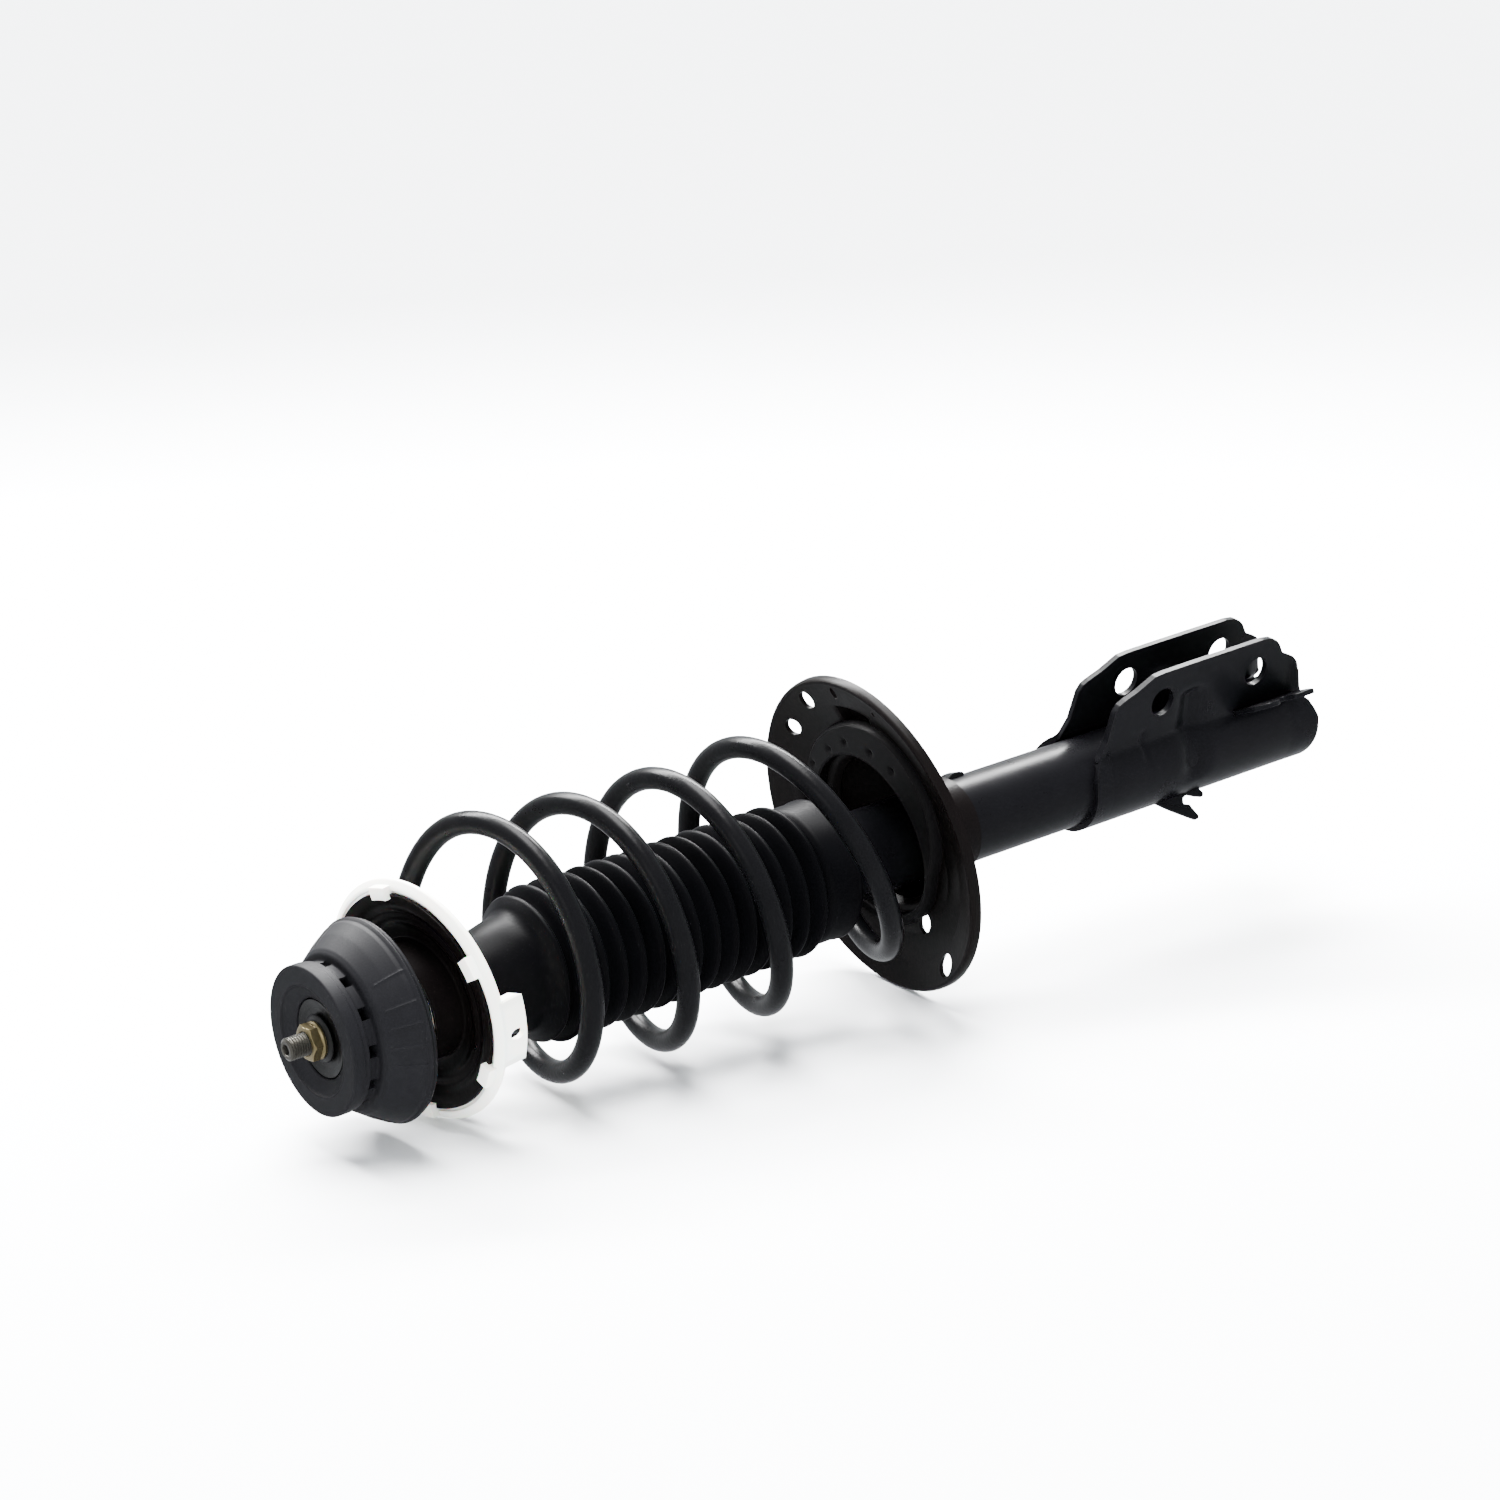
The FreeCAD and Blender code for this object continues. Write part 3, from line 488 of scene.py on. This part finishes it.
# %% [markdown]
# ## The upper spring plate
#
# A steel pressing, tilted about 8 degrees to the damper. It is a sheet: only its middle surface is
# drawn, as rings of radius and depth, and the tool gives it thickness. The hole is cut afterwards.

# %% Build the plate
PLATE_CENTRE = (61.0, 0.6, 2.7)
PLATE_NORMAL = (1, 0.136, 0.050)


def ring_sheet(outline, segments, change=None):
    """A turned sheet's middle surface from an open (along, radius) outline, rounded and refined."""
    open_points = np.asarray(outline, float)
    inside = rounded(open_points, 1.5)[5:-5]
    points = np.vstack([open_points[:1], inside, open_points[-1:]])
    length = np.concatenate([[0], np.cumsum(np.linalg.norm(np.diff(points, axis=0), axis=1))])
    even = np.linspace(0, length[-1], int(length[-1] / 0.8))
    fine = np.column_stack([np.interp(even, length, points[:, i]) for i in (0, 1)])
    return turned(fine, segments, change)


def cylinder_tool(centre, axis, radius, length, segments=40, stretch=1.0, turn=0.0):
    """A closed cylinder, or an oval one, whose middle is at a point."""
    angle = np.linspace(0, TURN, segments, endpoint=False)
    flat = np.column_stack([np.cos(angle) * radius * stretch, np.sin(angle) * radius])
    spin = np.array([[math.cos(turn), math.sin(turn)], [-math.sin(turn), math.cos(turn)]])
    flat = flat @ spin
    rings = [np.column_stack([np.full(segments, x), flat]) for x in (-length / 2, length / 2)]
    points, faces = closed_grid(np.stack(rings), wrap_rows=False)
    return tilted(points, centre, axis), faces


plate_outline = [(-11.0, 30.7), (7.0, 31.8), (8.2, 33.2), (8.2, 37), (7.6, 40), (4.6, 44), (6.2, 47.5),
                 (2.2, 52.6), (1.0, 59.2)]
plate_points = tilted(ring_sheet(plate_outline, 240), PLATE_CENTRE, PLATE_NORMAL)
upper_plate = make_object("upper_plate", [sheet_faces(plate_points, 1.9, wrap=True)])
slot_angle = math.radians(-110)
slot_centre = tilted(np.array([[6.0, 42 * math.sin(slot_angle), 42 * math.cos(slot_angle)]]),
                     PLATE_CENTRE, PLATE_NORMAL)[0]
cut_holes(upper_plate, [cylinder_tool(slot_centre, PLATE_NORMAL, 2.4, 14, stretch=1.9, turn=slot_angle)])
piece(upper_plate, "upper_seat_plate", electrocoat)

# %% [markdown]
# ## The nylon bearing housing
#
# The housing holds the plate by a ring of snap tabs. Its clip box, at the near side, has a small
# window. Ring and hub are turned; tabs and clip are short arcs of the same ring, built as sheets.

# %% Build the housing
def arc_block(start, end, along, radius):
    """A closed block between two angles in degrees, two along values and two radii, with its
    edges rounded by 0.6."""
    ring = rounded([(along[0], radius[0]), (along[0], radius[1]), (along[1], radius[1]),
                    (along[1], radius[0])], 0.6)
    steps = max(4, int(abs(end - start) / 2))
    angle = np.radians(np.linspace(start, end, steps))[:, None]
    x = ring[:, 0][None, :] + 0 * angle
    points = np.stack([x, ring[:, 1] * np.sin(angle), ring[:, 1] * np.cos(angle)], axis=-1)
    return closed_grid(points, wrap_rows=False)


ring_outline = [(1.0, 60.8), (1.2, 62.6), (3.6, 66), (5.4, 66), (8, 63.4), (12, 57), (12, 16), (9.8, 16),
                (9.8, 42), (6.4, 45.4), (8.0, 48.6), (3.8, 54), (2.6, 60.8)]
hub_outline = [(55.6, 12), (55.6, 27), (58.6, 27), (61, 18), (100, 18), (100, 12)]
tabs = [arc_block(centre - 5.5, centre + 5.5, (-3.2, 2.4), (56.5, 63.5))
        for centre in (11, 66, 116, 182, 243, 301)]
clip = arc_block(-111, -79, (4, 19.5), (62.5, 66))
clip_sides = [arc_block(a, a + 3, (4, 19.5), (55, 66)) for a in (-111, -82)]
solids = [closed_grid(turned(rounded(ring_outline, 0.8), 240))] + tabs + [clip] + clip_sides
solids = [(tilted(points, PLATE_CENTRE, PLATE_NORMAL), faces) for points, faces in solids]
solids.append(closed_grid(turned(rounded(hub_outline, 0.6), 120)))
housing = make_object("housing", solids)
window_angle = math.radians(-96)
window_centre = tilted(np.array([[13.0, 64 * math.sin(window_angle), 64 * math.cos(window_angle)]]),
                       PLATE_CENTRE, PLATE_NORMAL)[0]
cut_holes(housing, [cylinder_tool(window_centre, (0, -1, 0), 3.0, 10, 24, stretch=1.5)])
piece(housing, "bearing_housing", nylon)

# %% [markdown]
# ## The dust boot
#
# Blow-moulded bellows: a cone from the hub, one raised rim, then even folds and a plain cuff. The
# folds are a raised cosine, sharpened a little at the roots, along the boot's length.

# %% Build the boot
def boot_outline(wall):
    """Outer or inner outline from the neck to the cuff, `wall` inside the outer one."""
    head = np.array([(86, 22), (88, 23.2), (100, 26.8), (114, 30.2), (121, 31.6), (124, 31.8), (127, 34.8),
                     (129.6, 39.2), (131, 40), (132.6, 39.2), (134.4, 35.6)])
    folds = np.linspace(136.0, 303.0, 340)
    phase = (folds - 142.0) / 12.25
    shape = (0.5 + 0.5 * np.cos(TURN * phase)) ** 0.72
    radius = 34.2 + 8.8 * shape
    radius = radius - 3.0 * (1 - smooth_step(folds, 136, 140)) * shape
    tail = np.array([(306, 34.8), (309, 38.6), (311.5, 39.5), (326, 39.5), (327, 40.2), (329, 40.2),
                     (330, 39.4)])
    outline = np.vstack([head, np.column_stack([folds, radius]), tail])
    slope = np.gradient(outline, axis=0)
    normal = np.column_stack([slope[:, 1], -slope[:, 0]])
    normal /= np.linalg.norm(normal, axis=1, keepdims=True)
    return outline + normal * wall


boot_outer, boot_inner = boot_outline(0.0), boot_outline(1.1)
boot_profile = np.vstack([boot_outer, boot_inner[::-1]])
boot = make_object("boot", [closed_grid(turned(boot_profile, 128))], crease=60)
piece(boot, "dust_boot", boot_rubber, ride=False)


def share_along(thing):
    """Bakes the object's placement into its mesh; it is tied to no body."""
    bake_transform(thing)


share_along(boot)

# %% [markdown]
# ## The coil spring
#
# A side-load spring: its coils bow upward. The path is a helix whose centre line is a parabola and
# whose pitch closes at both ends. A circle is carried along it.

# %% Build the coil
WIRE_RADIUS = 6.25
COIL_TURN = (0.9757, 0.2192)


def coil_path(turns):
    """The wire's centre at each number of turns from the first crest: along the damper it gains a
    pitch each turn, leans with the seats, and closes up where it meets them."""
    angle = TURN * turns
    along = 109.5 + 65.87 * turns - 1.14 * turns ** 2
    along += 31 * np.clip(turns - 2.9, 0, None) ** 2 + 46 * np.clip(-turns, 0, None) ** 2
    along += 14 * smooth_step(turns, 2.9, 3.5)
    reach = np.minimum(along - 210, 95)
    radius = 69.4
    along = along + radius * (-0.00104 * reach * np.cos(angle)
                              - (0.077 + 0.00108 * reach) * np.sin(angle))
    rise = 7.64 - 0.0148 * reach + 0.00052 * reach ** 2
    rise += 4 * smooth_step(turns, 3.0, 3.5)
    reach = np.minimum(reach, 62)
    side = -2.07 + 0.0312 * reach + 0.00054 * reach ** 2
    drawn = smooth_step(-turns, 0, 0.42)
    radius = radius - (radius - 57.0) * drawn
    rise += (2.8 - rise) * drawn
    side -= side * drawn
    across, near = rise + radius * np.cos(angle), side + radius * np.sin(angle)
    y = COIL_TURN[1] * across - COIL_TURN[0] * near
    z = COIL_TURN[0] * across + COIL_TURN[1] * near
    top_limit = 61 + 19.4 - 0.136 * y - 0.05 * z
    seat_limit = 369 - 0.145 * (z - 10) + 0.066 * (y - 3.3)
    settled = top_limit + (along - top_limit) * np.clip(1 + (turns + 0.3) / 0.2, 0, 1)
    along = np.where(turns < -0.3, settled, along)
    return np.column_stack([np.minimum(np.maximum(along, top_limit), seat_limit), y, z])


def swept(path, radius, segments=40):
    """A circle carried along a path. Its first direction points away from the X axis, made square
    to the path, and the second is square to both. The ends are domed by shrinking rings."""
    tangent = np.gradient(path, axis=0)
    tangent /= np.linalg.norm(tangent, axis=1, keepdims=True)
    outward = path * np.array([0, 1, 1])
    outward -= tangent * np.sum(outward * tangent, axis=1, keepdims=True)
    outward /= np.linalg.norm(outward, axis=1, keepdims=True)
    beside = np.cross(tangent, outward)
    size = np.full(len(path), radius)
    size[:3] = size[-3:][::-1] = radius * np.array([0.86, 0.96, 1.0])
    angle = np.linspace(0, TURN, segments, endpoint=False)[None, :, None]
    ring = np.cos(angle) * outward[:, None] + np.sin(angle) * beside[:, None]
    return path[:, None] + ring * size[:, None, None]


def softened(path, width):
    """Runs a short average along a path, so that its bends have no kinks; the ends stay put."""
    kernel = np.ones(width) / width
    padded = np.vstack([np.repeat(path[:1], width // 2, 0), path, np.repeat(path[-1:], width // 2, 0)])
    return np.column_stack([np.convolve(padded[:, i], kernel, "valid") for i in range(3)])


coil_turns = np.linspace(-0.52, 3.78, 1100)
coil_rings = swept(softened(coil_path(coil_turns), 15), WIRE_RADIUS)
coil = make_object("coil", [closed_grid(coil_rings, wrap_rows=False)], crease=50)
piece(coil, "coil_spring", powder_coat, ride=False)
share_along(coil)

# %% [markdown]
# ## The lower spring seat
#
# A deep pressing on the tube, tilted the other way from the plate. Its middle surface is a height
# for each radius and angle: a turned-back rim, a flange with holes, a platform and the cup's mouth.
# Below the mouth a funnel narrows to the tube. The pressed pocket at the top is a local dent.

# %% Build the lower seat
SEAT_CENTRE = (369.0, 3.3, 7.4)
SEAT_NORMAL = (1, -0.066, 0.145)


def seat_point(radius, degrees, depth=0.0):
    """A place on the seat: depth along its normal, radius and angle about it."""
    angle = math.radians(degrees)
    spot = np.array([[depth, radius * math.sin(angle), radius * math.cos(angle)]])
    return tilted(spot, SEAT_CENTRE, SEAT_NORMAL)[0]


def seat_sheet():
    """Rows from the cup's lip outward to the back edge of the rim, for each angle."""
    angle = np.linspace(0, TURN, 300, endpoint=False)[None, :]
    degrees = np.degrees(angle)
    reach = np.concatenate([np.linspace(44, 50, 12), np.linspace(50.6, 92.2, 66)])[:, None]
    depth = np.interp(reach[:, 0], [44, 46.5, 48.5, 62, 64.5, 78, 84, 89, 92.2],
                      [15.0, 10.8, 9.8, 9.6, 9.0, 5.6, 3.4, 1.6, 0.6])[:, None] + 0 * angle
    pocket = box_wave(reach - 71.5, 5.5, 1.2) * box_wave((degrees + 180) % 360 - 180, 11.0, 1.4)
    depth = depth + 5.5 * pocket
    face = np.stack([depth, (reach + 0 * angle) * np.sin(angle), (reach + 0 * angle) * np.cos(angle)], -1)
    bend = np.linspace(0, 1, 8)[1:, None]
    lip_radius = 92.2 + 1.8 * np.sin(bend * math.pi / 2) + 0 * angle
    lip_depth = 0.6 - 0.6 * np.sin(bend * math.pi) + 4.4 * bend ** 2 + 0 * angle
    lip = np.stack([lip_depth, lip_radius * np.sin(angle), lip_radius * np.cos(angle)], -1)
    return tilted(np.concatenate([face, lip]), SEAT_CENTRE, SEAT_NORMAL)


def funnel_sheet():
    """Rings that morph from the tilted mouth to the tube's collar, eased at both ends."""
    angle = np.linspace(0, TURN, 300, endpoint=False)[None, :]
    mouth = np.stack([15 + 0 * angle, 44 * np.sin(angle), 44 * np.cos(angle)], -1)
    mouth = tilted(mouth, SEAT_CENTRE, SEAT_NORMAL)
    collar = np.stack([415 + 0 * angle, 26.6 * np.sin(angle), 26.6 * np.cos(angle)], -1)
    share = np.linspace(0, 1, 26)[:, None, None]
    side = share ** 1.35
    body = mouth * (1 - share) * np.array([1, 0, 0]) + collar * share * np.array([1, 0, 0])
    body = body + (mouth * (1 - side) + collar * side) * np.array([0, 1, 1])
    tail = collar + np.array([1, 0, 0]) * np.linspace(1.5, 12, 6)[:, None, None]
    return np.concatenate([body, tail])


seat = make_object("lower_seat", [sheet_faces(seat_sheet(), 2.4, wrap=True),
                                  sheet_faces(funnel_sheet(), 2.4, wrap=True)])
SEAT_HOLES = ((84, 28, 5.0, 1.25), (80, 50, 5.0, 1.25), (86.5, 6, 2.2, 1.8), (85, -141, 5.4, 1.6),
              (58, -149, 4.6, 1.7), (86, -18, 1.4, 1.0), (87, -64, 1.5, 1.0))
cutters = [cylinder_tool(seat_point(r, a, 6), SEAT_NORMAL, size, 22, 36, stretch, math.radians(a + 90))
           for r, a, size, stretch in SEAT_HOLES]
cutters.append(cylinder_tool(seat_point(46.5, -113, 9), SEAT_NORMAL, 4.6, 16, 3))
cut_holes(seat, cutters)
through_cutters = [cutters[4], cutters[-1]]
piece(seat, "lower_spring_seat", electrocoat)

# %% [markdown]
# ## The rubber seat for the coil
#
# The moulding fills the space between the cup and the coil's last turn, so its outside is a spiral:
# its radius grows where the wire has left the seat. Small dimples mark its face.

# %% Build the rubber seat
def rubber_sheet():
    """The moulding's face and sides as closed rows round the cup: inner wall, face, outer wall
    and the underside that follows the steel."""
    angle = np.linspace(0, TURN, 300, endpoint=False)[None, :]
    degrees = (np.degrees(angle) + 180) % 360 - 180
    reach = np.interp(degrees, [-180, -106, -84, -56, -36, -25, -12, 15, 43, 61, 90, 180],
                      [56, 52, 60, 71, 74, 74, 72, 65, 62, 60, 57, 56])
    kernel = np.ones(15) / 15
    reach = np.convolve(np.concatenate([reach[0, -7:], reach[0], reach[0, :7]]), kernel, "valid")[None, :]
    inner = 48.8 + 0 * reach
    face = np.linspace(0, 1, 24)[:, None]
    across = inner + 1.0 + (reach - inner - 2.2) * face
    height = 1.6 + 0 * across
    for radius, spot in ((56, 53), (54, 28), (57, 8), (58, -16), (60, -35)):
        away = np.hypot(across - radius, np.radians(degrees - spot) * radius)
        height = height + 1.5 * np.exp(-(away / 1.9) ** 2)
    top = np.stack([height, across, 0 * across], -1)
    edge = [(8.6, inner[0]), (2.4, inner[0])]
    foot_height = np.interp(reach[0], [62, 79], [8.2, 5.0])
    close = [(2.6, reach[0] - 0.2), (4.6, reach[0] + 0.6), (foot_height, reach[0] + 1.0)]
    rows = [np.stack([x + 0 * r, r, 0 * r], -1)[None] for x, r in edge]
    rows_out = [np.stack([x + 0 * r, r, 0 * r], -1)[None] for x, r in close]
    grid = np.concatenate(rows + [top] + rows_out)
    points = np.stack([grid[..., 0], grid[..., 1] * np.sin(angle), grid[..., 1] * np.cos(angle)], -1)
    return tilted(points, SEAT_CENTRE, SEAT_NORMAL)


rubber = make_object("seat_rubber", [closed_grid(rubber_sheet())], crease=45)
cut_holes(rubber, through_cutters)
piece(rubber, "lower_seat_rubber", seat_rubber)

# %% [markdown]
# ## The strut tube
#
# A plain drawn tube with a rolled edge, closed at both ends by pieces inside it.

# %% Build the tube
tube_low, tube_high = box_mm("strut_tube")
start, end, tube_radius = tube_low[0], tube_high[0], tube_high[2]
tube_outline = [(start, 21.5), (start, tube_radius), (end, tube_radius), (end, tube_radius - 2),
                (start + 2, tube_radius - 2), (start + 2, 21.5)]
tube = make_object("tube", [closed_grid(turned(refined(rounded(tube_outline, 1.2), 6.0), 160))])
piece(tube, "strut_tube", black_paint)

# %% [markdown]
# ## The knuckle bracket
#
# One thick sheet is wrapped under the tube and its two sides run up as ears. The middle surface is a
# grid: rows along X, columns from the bottom of the tube, round it and up an ear. Every row follows
# the same section but stops at the ear's own outline there. Both sides are joined into one grid, and
# the pressed valley, the front shoulders and the flared rear lip are bends of that surface.

# %% Build the bracket
BRACKET_ROLL = math.radians(11.84)
EAR_TOP = [(517, 12), (523, 21), (530, 33), (534, 50), (537, 54), (541, 56), (551, 59.5), (564, 65.8),
           (572, 66.6), (600, 67), (653, 67.5), (660, 66.6), (665, 64), (668, 61), (672, 54), (682, 49),
           (685, 45.5), (687, 40), (690, 24), (694, 10)]


def rolled(points):
    """Turns points drawn with the ears straight up into the strut's frame, near ear towards -Y."""
    cosine, sine = math.cos(BRACKET_ROLL), math.sin(BRACKET_ROLL)
    x, y, z = points[..., 0], points[..., 1], points[..., 2]
    return np.stack([x, y * cosine - z * sine, y * sine + z * cosine], -1)


def bracket_half_section():
    """(sideways, up) from the bottom of the tube to above an ear, at even steps: an arc, an inward
    bend and a straight side, with the corner averaged out."""
    radius, side = 26.75, 15.45
    arc = np.radians(np.linspace(180, 40, 200))
    path = np.column_stack([radius * np.sin(arc), radius * np.cos(arc)])
    path = path[(path[:, 1] < 0) | (path[:, 0] > side + 0.3)]
    ear = np.column_stack([np.full(300, side), np.linspace(path[-1, 1] + 0.6, 72, 300)])
    path = np.vstack([path, ear])
    length = np.concatenate([[0], np.cumsum(np.linalg.norm(np.diff(path, axis=0), axis=1))])
    even = np.arange(0, length[-1], 0.35)
    path = np.column_stack([np.interp(even, length, path[:, i]) for i in (0, 1)])
    width = 17
    mirror = path[1:width // 2 + 1][::-1] * [-1, 1]
    tail = np.repeat(path[-1:], width // 2, 0)
    padded = np.vstack([mirror, path, tail])
    kernel = np.ones(width) / width
    return np.column_stack([np.convolve(padded[:, i], kernel, "valid") for i in (0, 1)])


def bracket_sheet():
    """The middle surface. The share up each side is the same for every row, so lines of the grid
    flow along the bracket; the last row is pushed out and back as the rear lip."""
    outline = np.array(EAR_TOP, float)
    along = np.unique(np.concatenate([np.linspace(517, 694, 150), outline[:, 0]]))
    top = np.interp(along, outline[:, 0], outline[:, 1])
    half = bracket_half_section()
    count = np.arange(len(half), dtype=float)
    highest = np.interp(top, half[:, 1][np.argmin(half[:, 1]):], count[np.argmin(half[:, 1]):])
    share = np.linspace(0, 1, 100)
    step = highest[:, None] * share[None, :]
    side = np.interp(step, count, half[:, 0])
    up = np.interp(step, count, half[:, 1])
    x = along[:, None] + 0 * side
    valley = np.exp(-((x - 598) / 8.5) ** 2) * smooth_step(up, -8, 4) * (1 - smooth_step(up, 44, 52))
    side = side - 4.5 * valley
    neck = (1 - smooth_step(x, 517, 536)) * smooth_step(up, 4, 20)
    side = side + 1.5 * neck
    flare = smooth_step(x, 678, 694)
    turned_out = 3.2 * flare * smooth_step(up, -26, 10) * (1 - smooth_step(up, 40, 52))
    side = side + turned_out
    x = x + 5.0 * flare * (1 - smooth_step(up, 8, 30))
    bead = 1.2 * np.exp(-((x - 560) / 2.4) ** 2) * smooth_step(up, 10, 18) * (1 - smooth_step(up, 28, 34))
    side = side - bead
    near = np.stack([x, -side, up], -1)
    far = np.stack([x, side, up], -1)[:, :0:-1]
    return rolled(np.concatenate([far, near], axis=1))


bracket = make_object("bracket", [sheet_faces(bracket_sheet(), 3.5)], crease=40)
hole_axis = (0, -math.cos(BRACKET_ROLL), -math.sin(BRACKET_ROLL))
bolt_mounts = [m for m in record["mounts"] if m["name"].startswith("knuckle_bolt")]
cut_holes(bracket, [cylinder_tool(np.array(m["pos_m"]) * 1000, hole_axis, m["dims"]["r_mm"], 60, 64)
                    for m in bolt_mounts], crease=40)
piece(bracket, "knuckle_bracket", black_paint)

# %% [markdown]
# ## Small brackets
#
# Plates cut from flat stock: an outline, its thickness and where it is welded. The outline is drawn
# flat, then turned about the damper to the side where the real one stands.

# %% Build the small brackets
def about_damper(degrees):
    """The matrix that turns row vectors about X, from Y towards Z."""
    angle = math.radians(degrees)
    return np.array([[1, 0, 0], [0, math.cos(angle), math.sin(angle)],
                     [0, -math.sin(angle), math.cos(angle)]])


def slotted_plate(length, width, thick, slot_start, slot_width, slot_depth):
    """A plate with a clip slot in its free edge, drawn flat: X along it, Y from the weld outward."""
    slot_end = slot_start + slot_width
    outline = [(0, 0), (length, 0), (length, width * 0.55), (length - 6, width), (slot_end + 5, width),
               (slot_end, width - 3), (slot_end, width - slot_depth),
               (slot_start, width - slot_depth), (slot_start, width - 3), (slot_start - 5, width),
               (6, width), (0, width * 0.7)]
    return plate(rounded(outline, 2.0), thick)


SHELF_WELD = (634, -17.2, 24.5)
shelf_rings = slotted_plate(50, 27, 3.0, 18, 12, 12)
shelf_rings = (shelf_rings + np.array([0, 0, 1.5])) @ about_damper(148) + np.array(SHELF_WELD)
hose = make_object("hose_plate", [closed_grid(rolled(shelf_rings), wrap_rows=False)])
piece(hose, "hose_bracket", black_paint)

fork = [(573, 26.6), (610, 26.6), (613, 31.5), (611.5, 33.8), (606, 32), (600.5, 29.4), (596.5, 30.6),
        (595, 34), (599.5, 35.6), (600, 38), (602.5, 43.4), (601.5, 45.2), (599, 45.4), (583, 34.5)]
fork_rings = plate(rounded(fork, 0.9), 2.4)[..., [0, 2, 1]]
fork_rings = fork_rings @ about_damper(148)
fork_plate = make_object("fork_plate", [closed_grid(fork_rings, wrap_rows=False)])
piece(fork_plate, "sensor_wire_bracket", black_paint)

tab_low, tab_high = box_mm("harness_tab")
tab = [(tab_low[0], 22.5), (tab_high[0], 22.5), (tab_high[0], 26.6), (tab_high[0] - 3, 27.6),
       (tab_low[0] + 4, 27.6), (tab_low[0], 25.4)]
tab_rings = plate(rounded(tab, 1.0), 9.0)[..., [0, 2, 1]]
tab_rings = tab_rings @ about_damper(-17)
tab_piece = make_object("tube_tab", [closed_grid(tab_rings, wrap_rows=False)])
piece(tab_piece, "harness_tab", black_paint)

# %% [markdown]
# ## Floor, light and camera
#
# The strut lies on its lower seat and on the nylon housing, so the floor is the plane under those
# two, a little off the damper's axis. The floor is pale and wide. A broad soft sun whitens it and
# leaves a faint shadow, and long softboxes draw the highlights along the coils and the tube.

# %% Stage
seat_low, housing_low = box_mm("lower_spring_seat"), box_mm("bearing_housing")
slope = math.atan2(seat_low[0][2] - housing_low[0][2], 380 - 66)
floor_normal = np.array([-math.sin(slope), 0, math.cos(slope)])
shown = [o for o in bpy.context.scene.objects if o.type == "MESH" and not o.hide_render]
lowest = min(float((np.array([v.co for v in o.data.vertices]) @ floor_normal).min()) for o in shown)
floor_mesh = bpy.data.meshes.new("floor")
half_floor = 14.0
across = np.cross(floor_normal, [1, 0, 0])
across /= np.linalg.norm(across)
ahead = np.cross(across, floor_normal)
middle = floor_normal * (lowest - 0.0004)
corners = [middle + half_floor * (a * ahead + b * across)
           for a, b in ((-1, -1), (1, -1), (1, 1), (-1, 1))]
floor_mesh.from_pydata([tuple(c) for c in corners], [], [(0, 3, 2, 1)])
floor = bpy.data.objects.new("floor", floor_mesh)
bpy.context.scene.collection.objects.link(floor)
floor_paint = finish("white_sweep", "#f6f8fb", "#f8fafc", 0.7, 0.02, 400, 20, 0.0, specular=0.1)
floor.data.materials.append(floor_paint)
# The floor lights the object softly but is left out of its gloss, as a matt paper sweep is.
floor.visible_glossy = False


def softbox(name, place, aim, width, height, power, tint=(1, 1, 1)):
    """A rectangular area light that faces a point, in metres and watts."""
    lamp = bpy.data.lights.new(name, "AREA")
    lamp.shape, lamp.size, lamp.size_y, lamp.energy, lamp.color = "RECTANGLE", width, height, power, tint
    thing = bpy.data.objects.new(name, lamp)
    thing.location = place
    thing.rotation_euler = (Vector(aim) - Vector(place)).to_track_quat("-Z", "Y").to_euler()
    bpy.context.scene.collection.objects.link(thing)


softbox("strip_behind", (0.8, 1.2, 1.2), (0.35, 0, 0), 2.4, 0.35, 480)
softbox("top_box", (0.0, -0.1, 2.4), (0.35, 0, 0), 1.2, 0.8, 130)
softbox("left_fill", (-1.6, -0.9, 0.9), (0.2, 0, 0), 0.8, 0.8, 10)
sun = bpy.data.lights.new("soft_sun", "SUN")
sun.energy, sun.angle = 18.0, math.radians(36)
sun_object = bpy.data.objects.new("soft_sun", sun)
sun_object.rotation_euler = (math.radians(-14), math.radians(10), 0)
bpy.context.scene.collection.objects.link(sun_object)
world = bpy.data.worlds.new("studio")
bpy.context.scene.world = world
world.use_nodes = True
sky = world.node_tree.nodes["Background"]
sky.inputs["Color"].default_value = (0.93, 0.96, 1.0, 1)
sky.inputs["Strength"].default_value = 1.5

# %% Camera
camera_data = bpy.data.cameras.new("camera")
camera_data.lens, camera_data.sensor_width = 86.4, 36.0
camera = bpy.data.objects.new("camera", camera_data)
eye, ahead = Vector((-0.82735, -1.47476, 0.70091)), Vector((0.572, 0.756, -0.318))
up = Vector((0.2444, 0.2125, 0.9461))
right = ahead.cross(up).normalized()
up = right.cross(ahead).normalized()
turn = Matrix((right, up, -ahead.normalized())).transposed()
camera.matrix_world = Matrix.Translation(eye) @ turn.to_4x4()
bpy.context.scene.collection.objects.link(camera)
bpy.context.scene.camera = camera
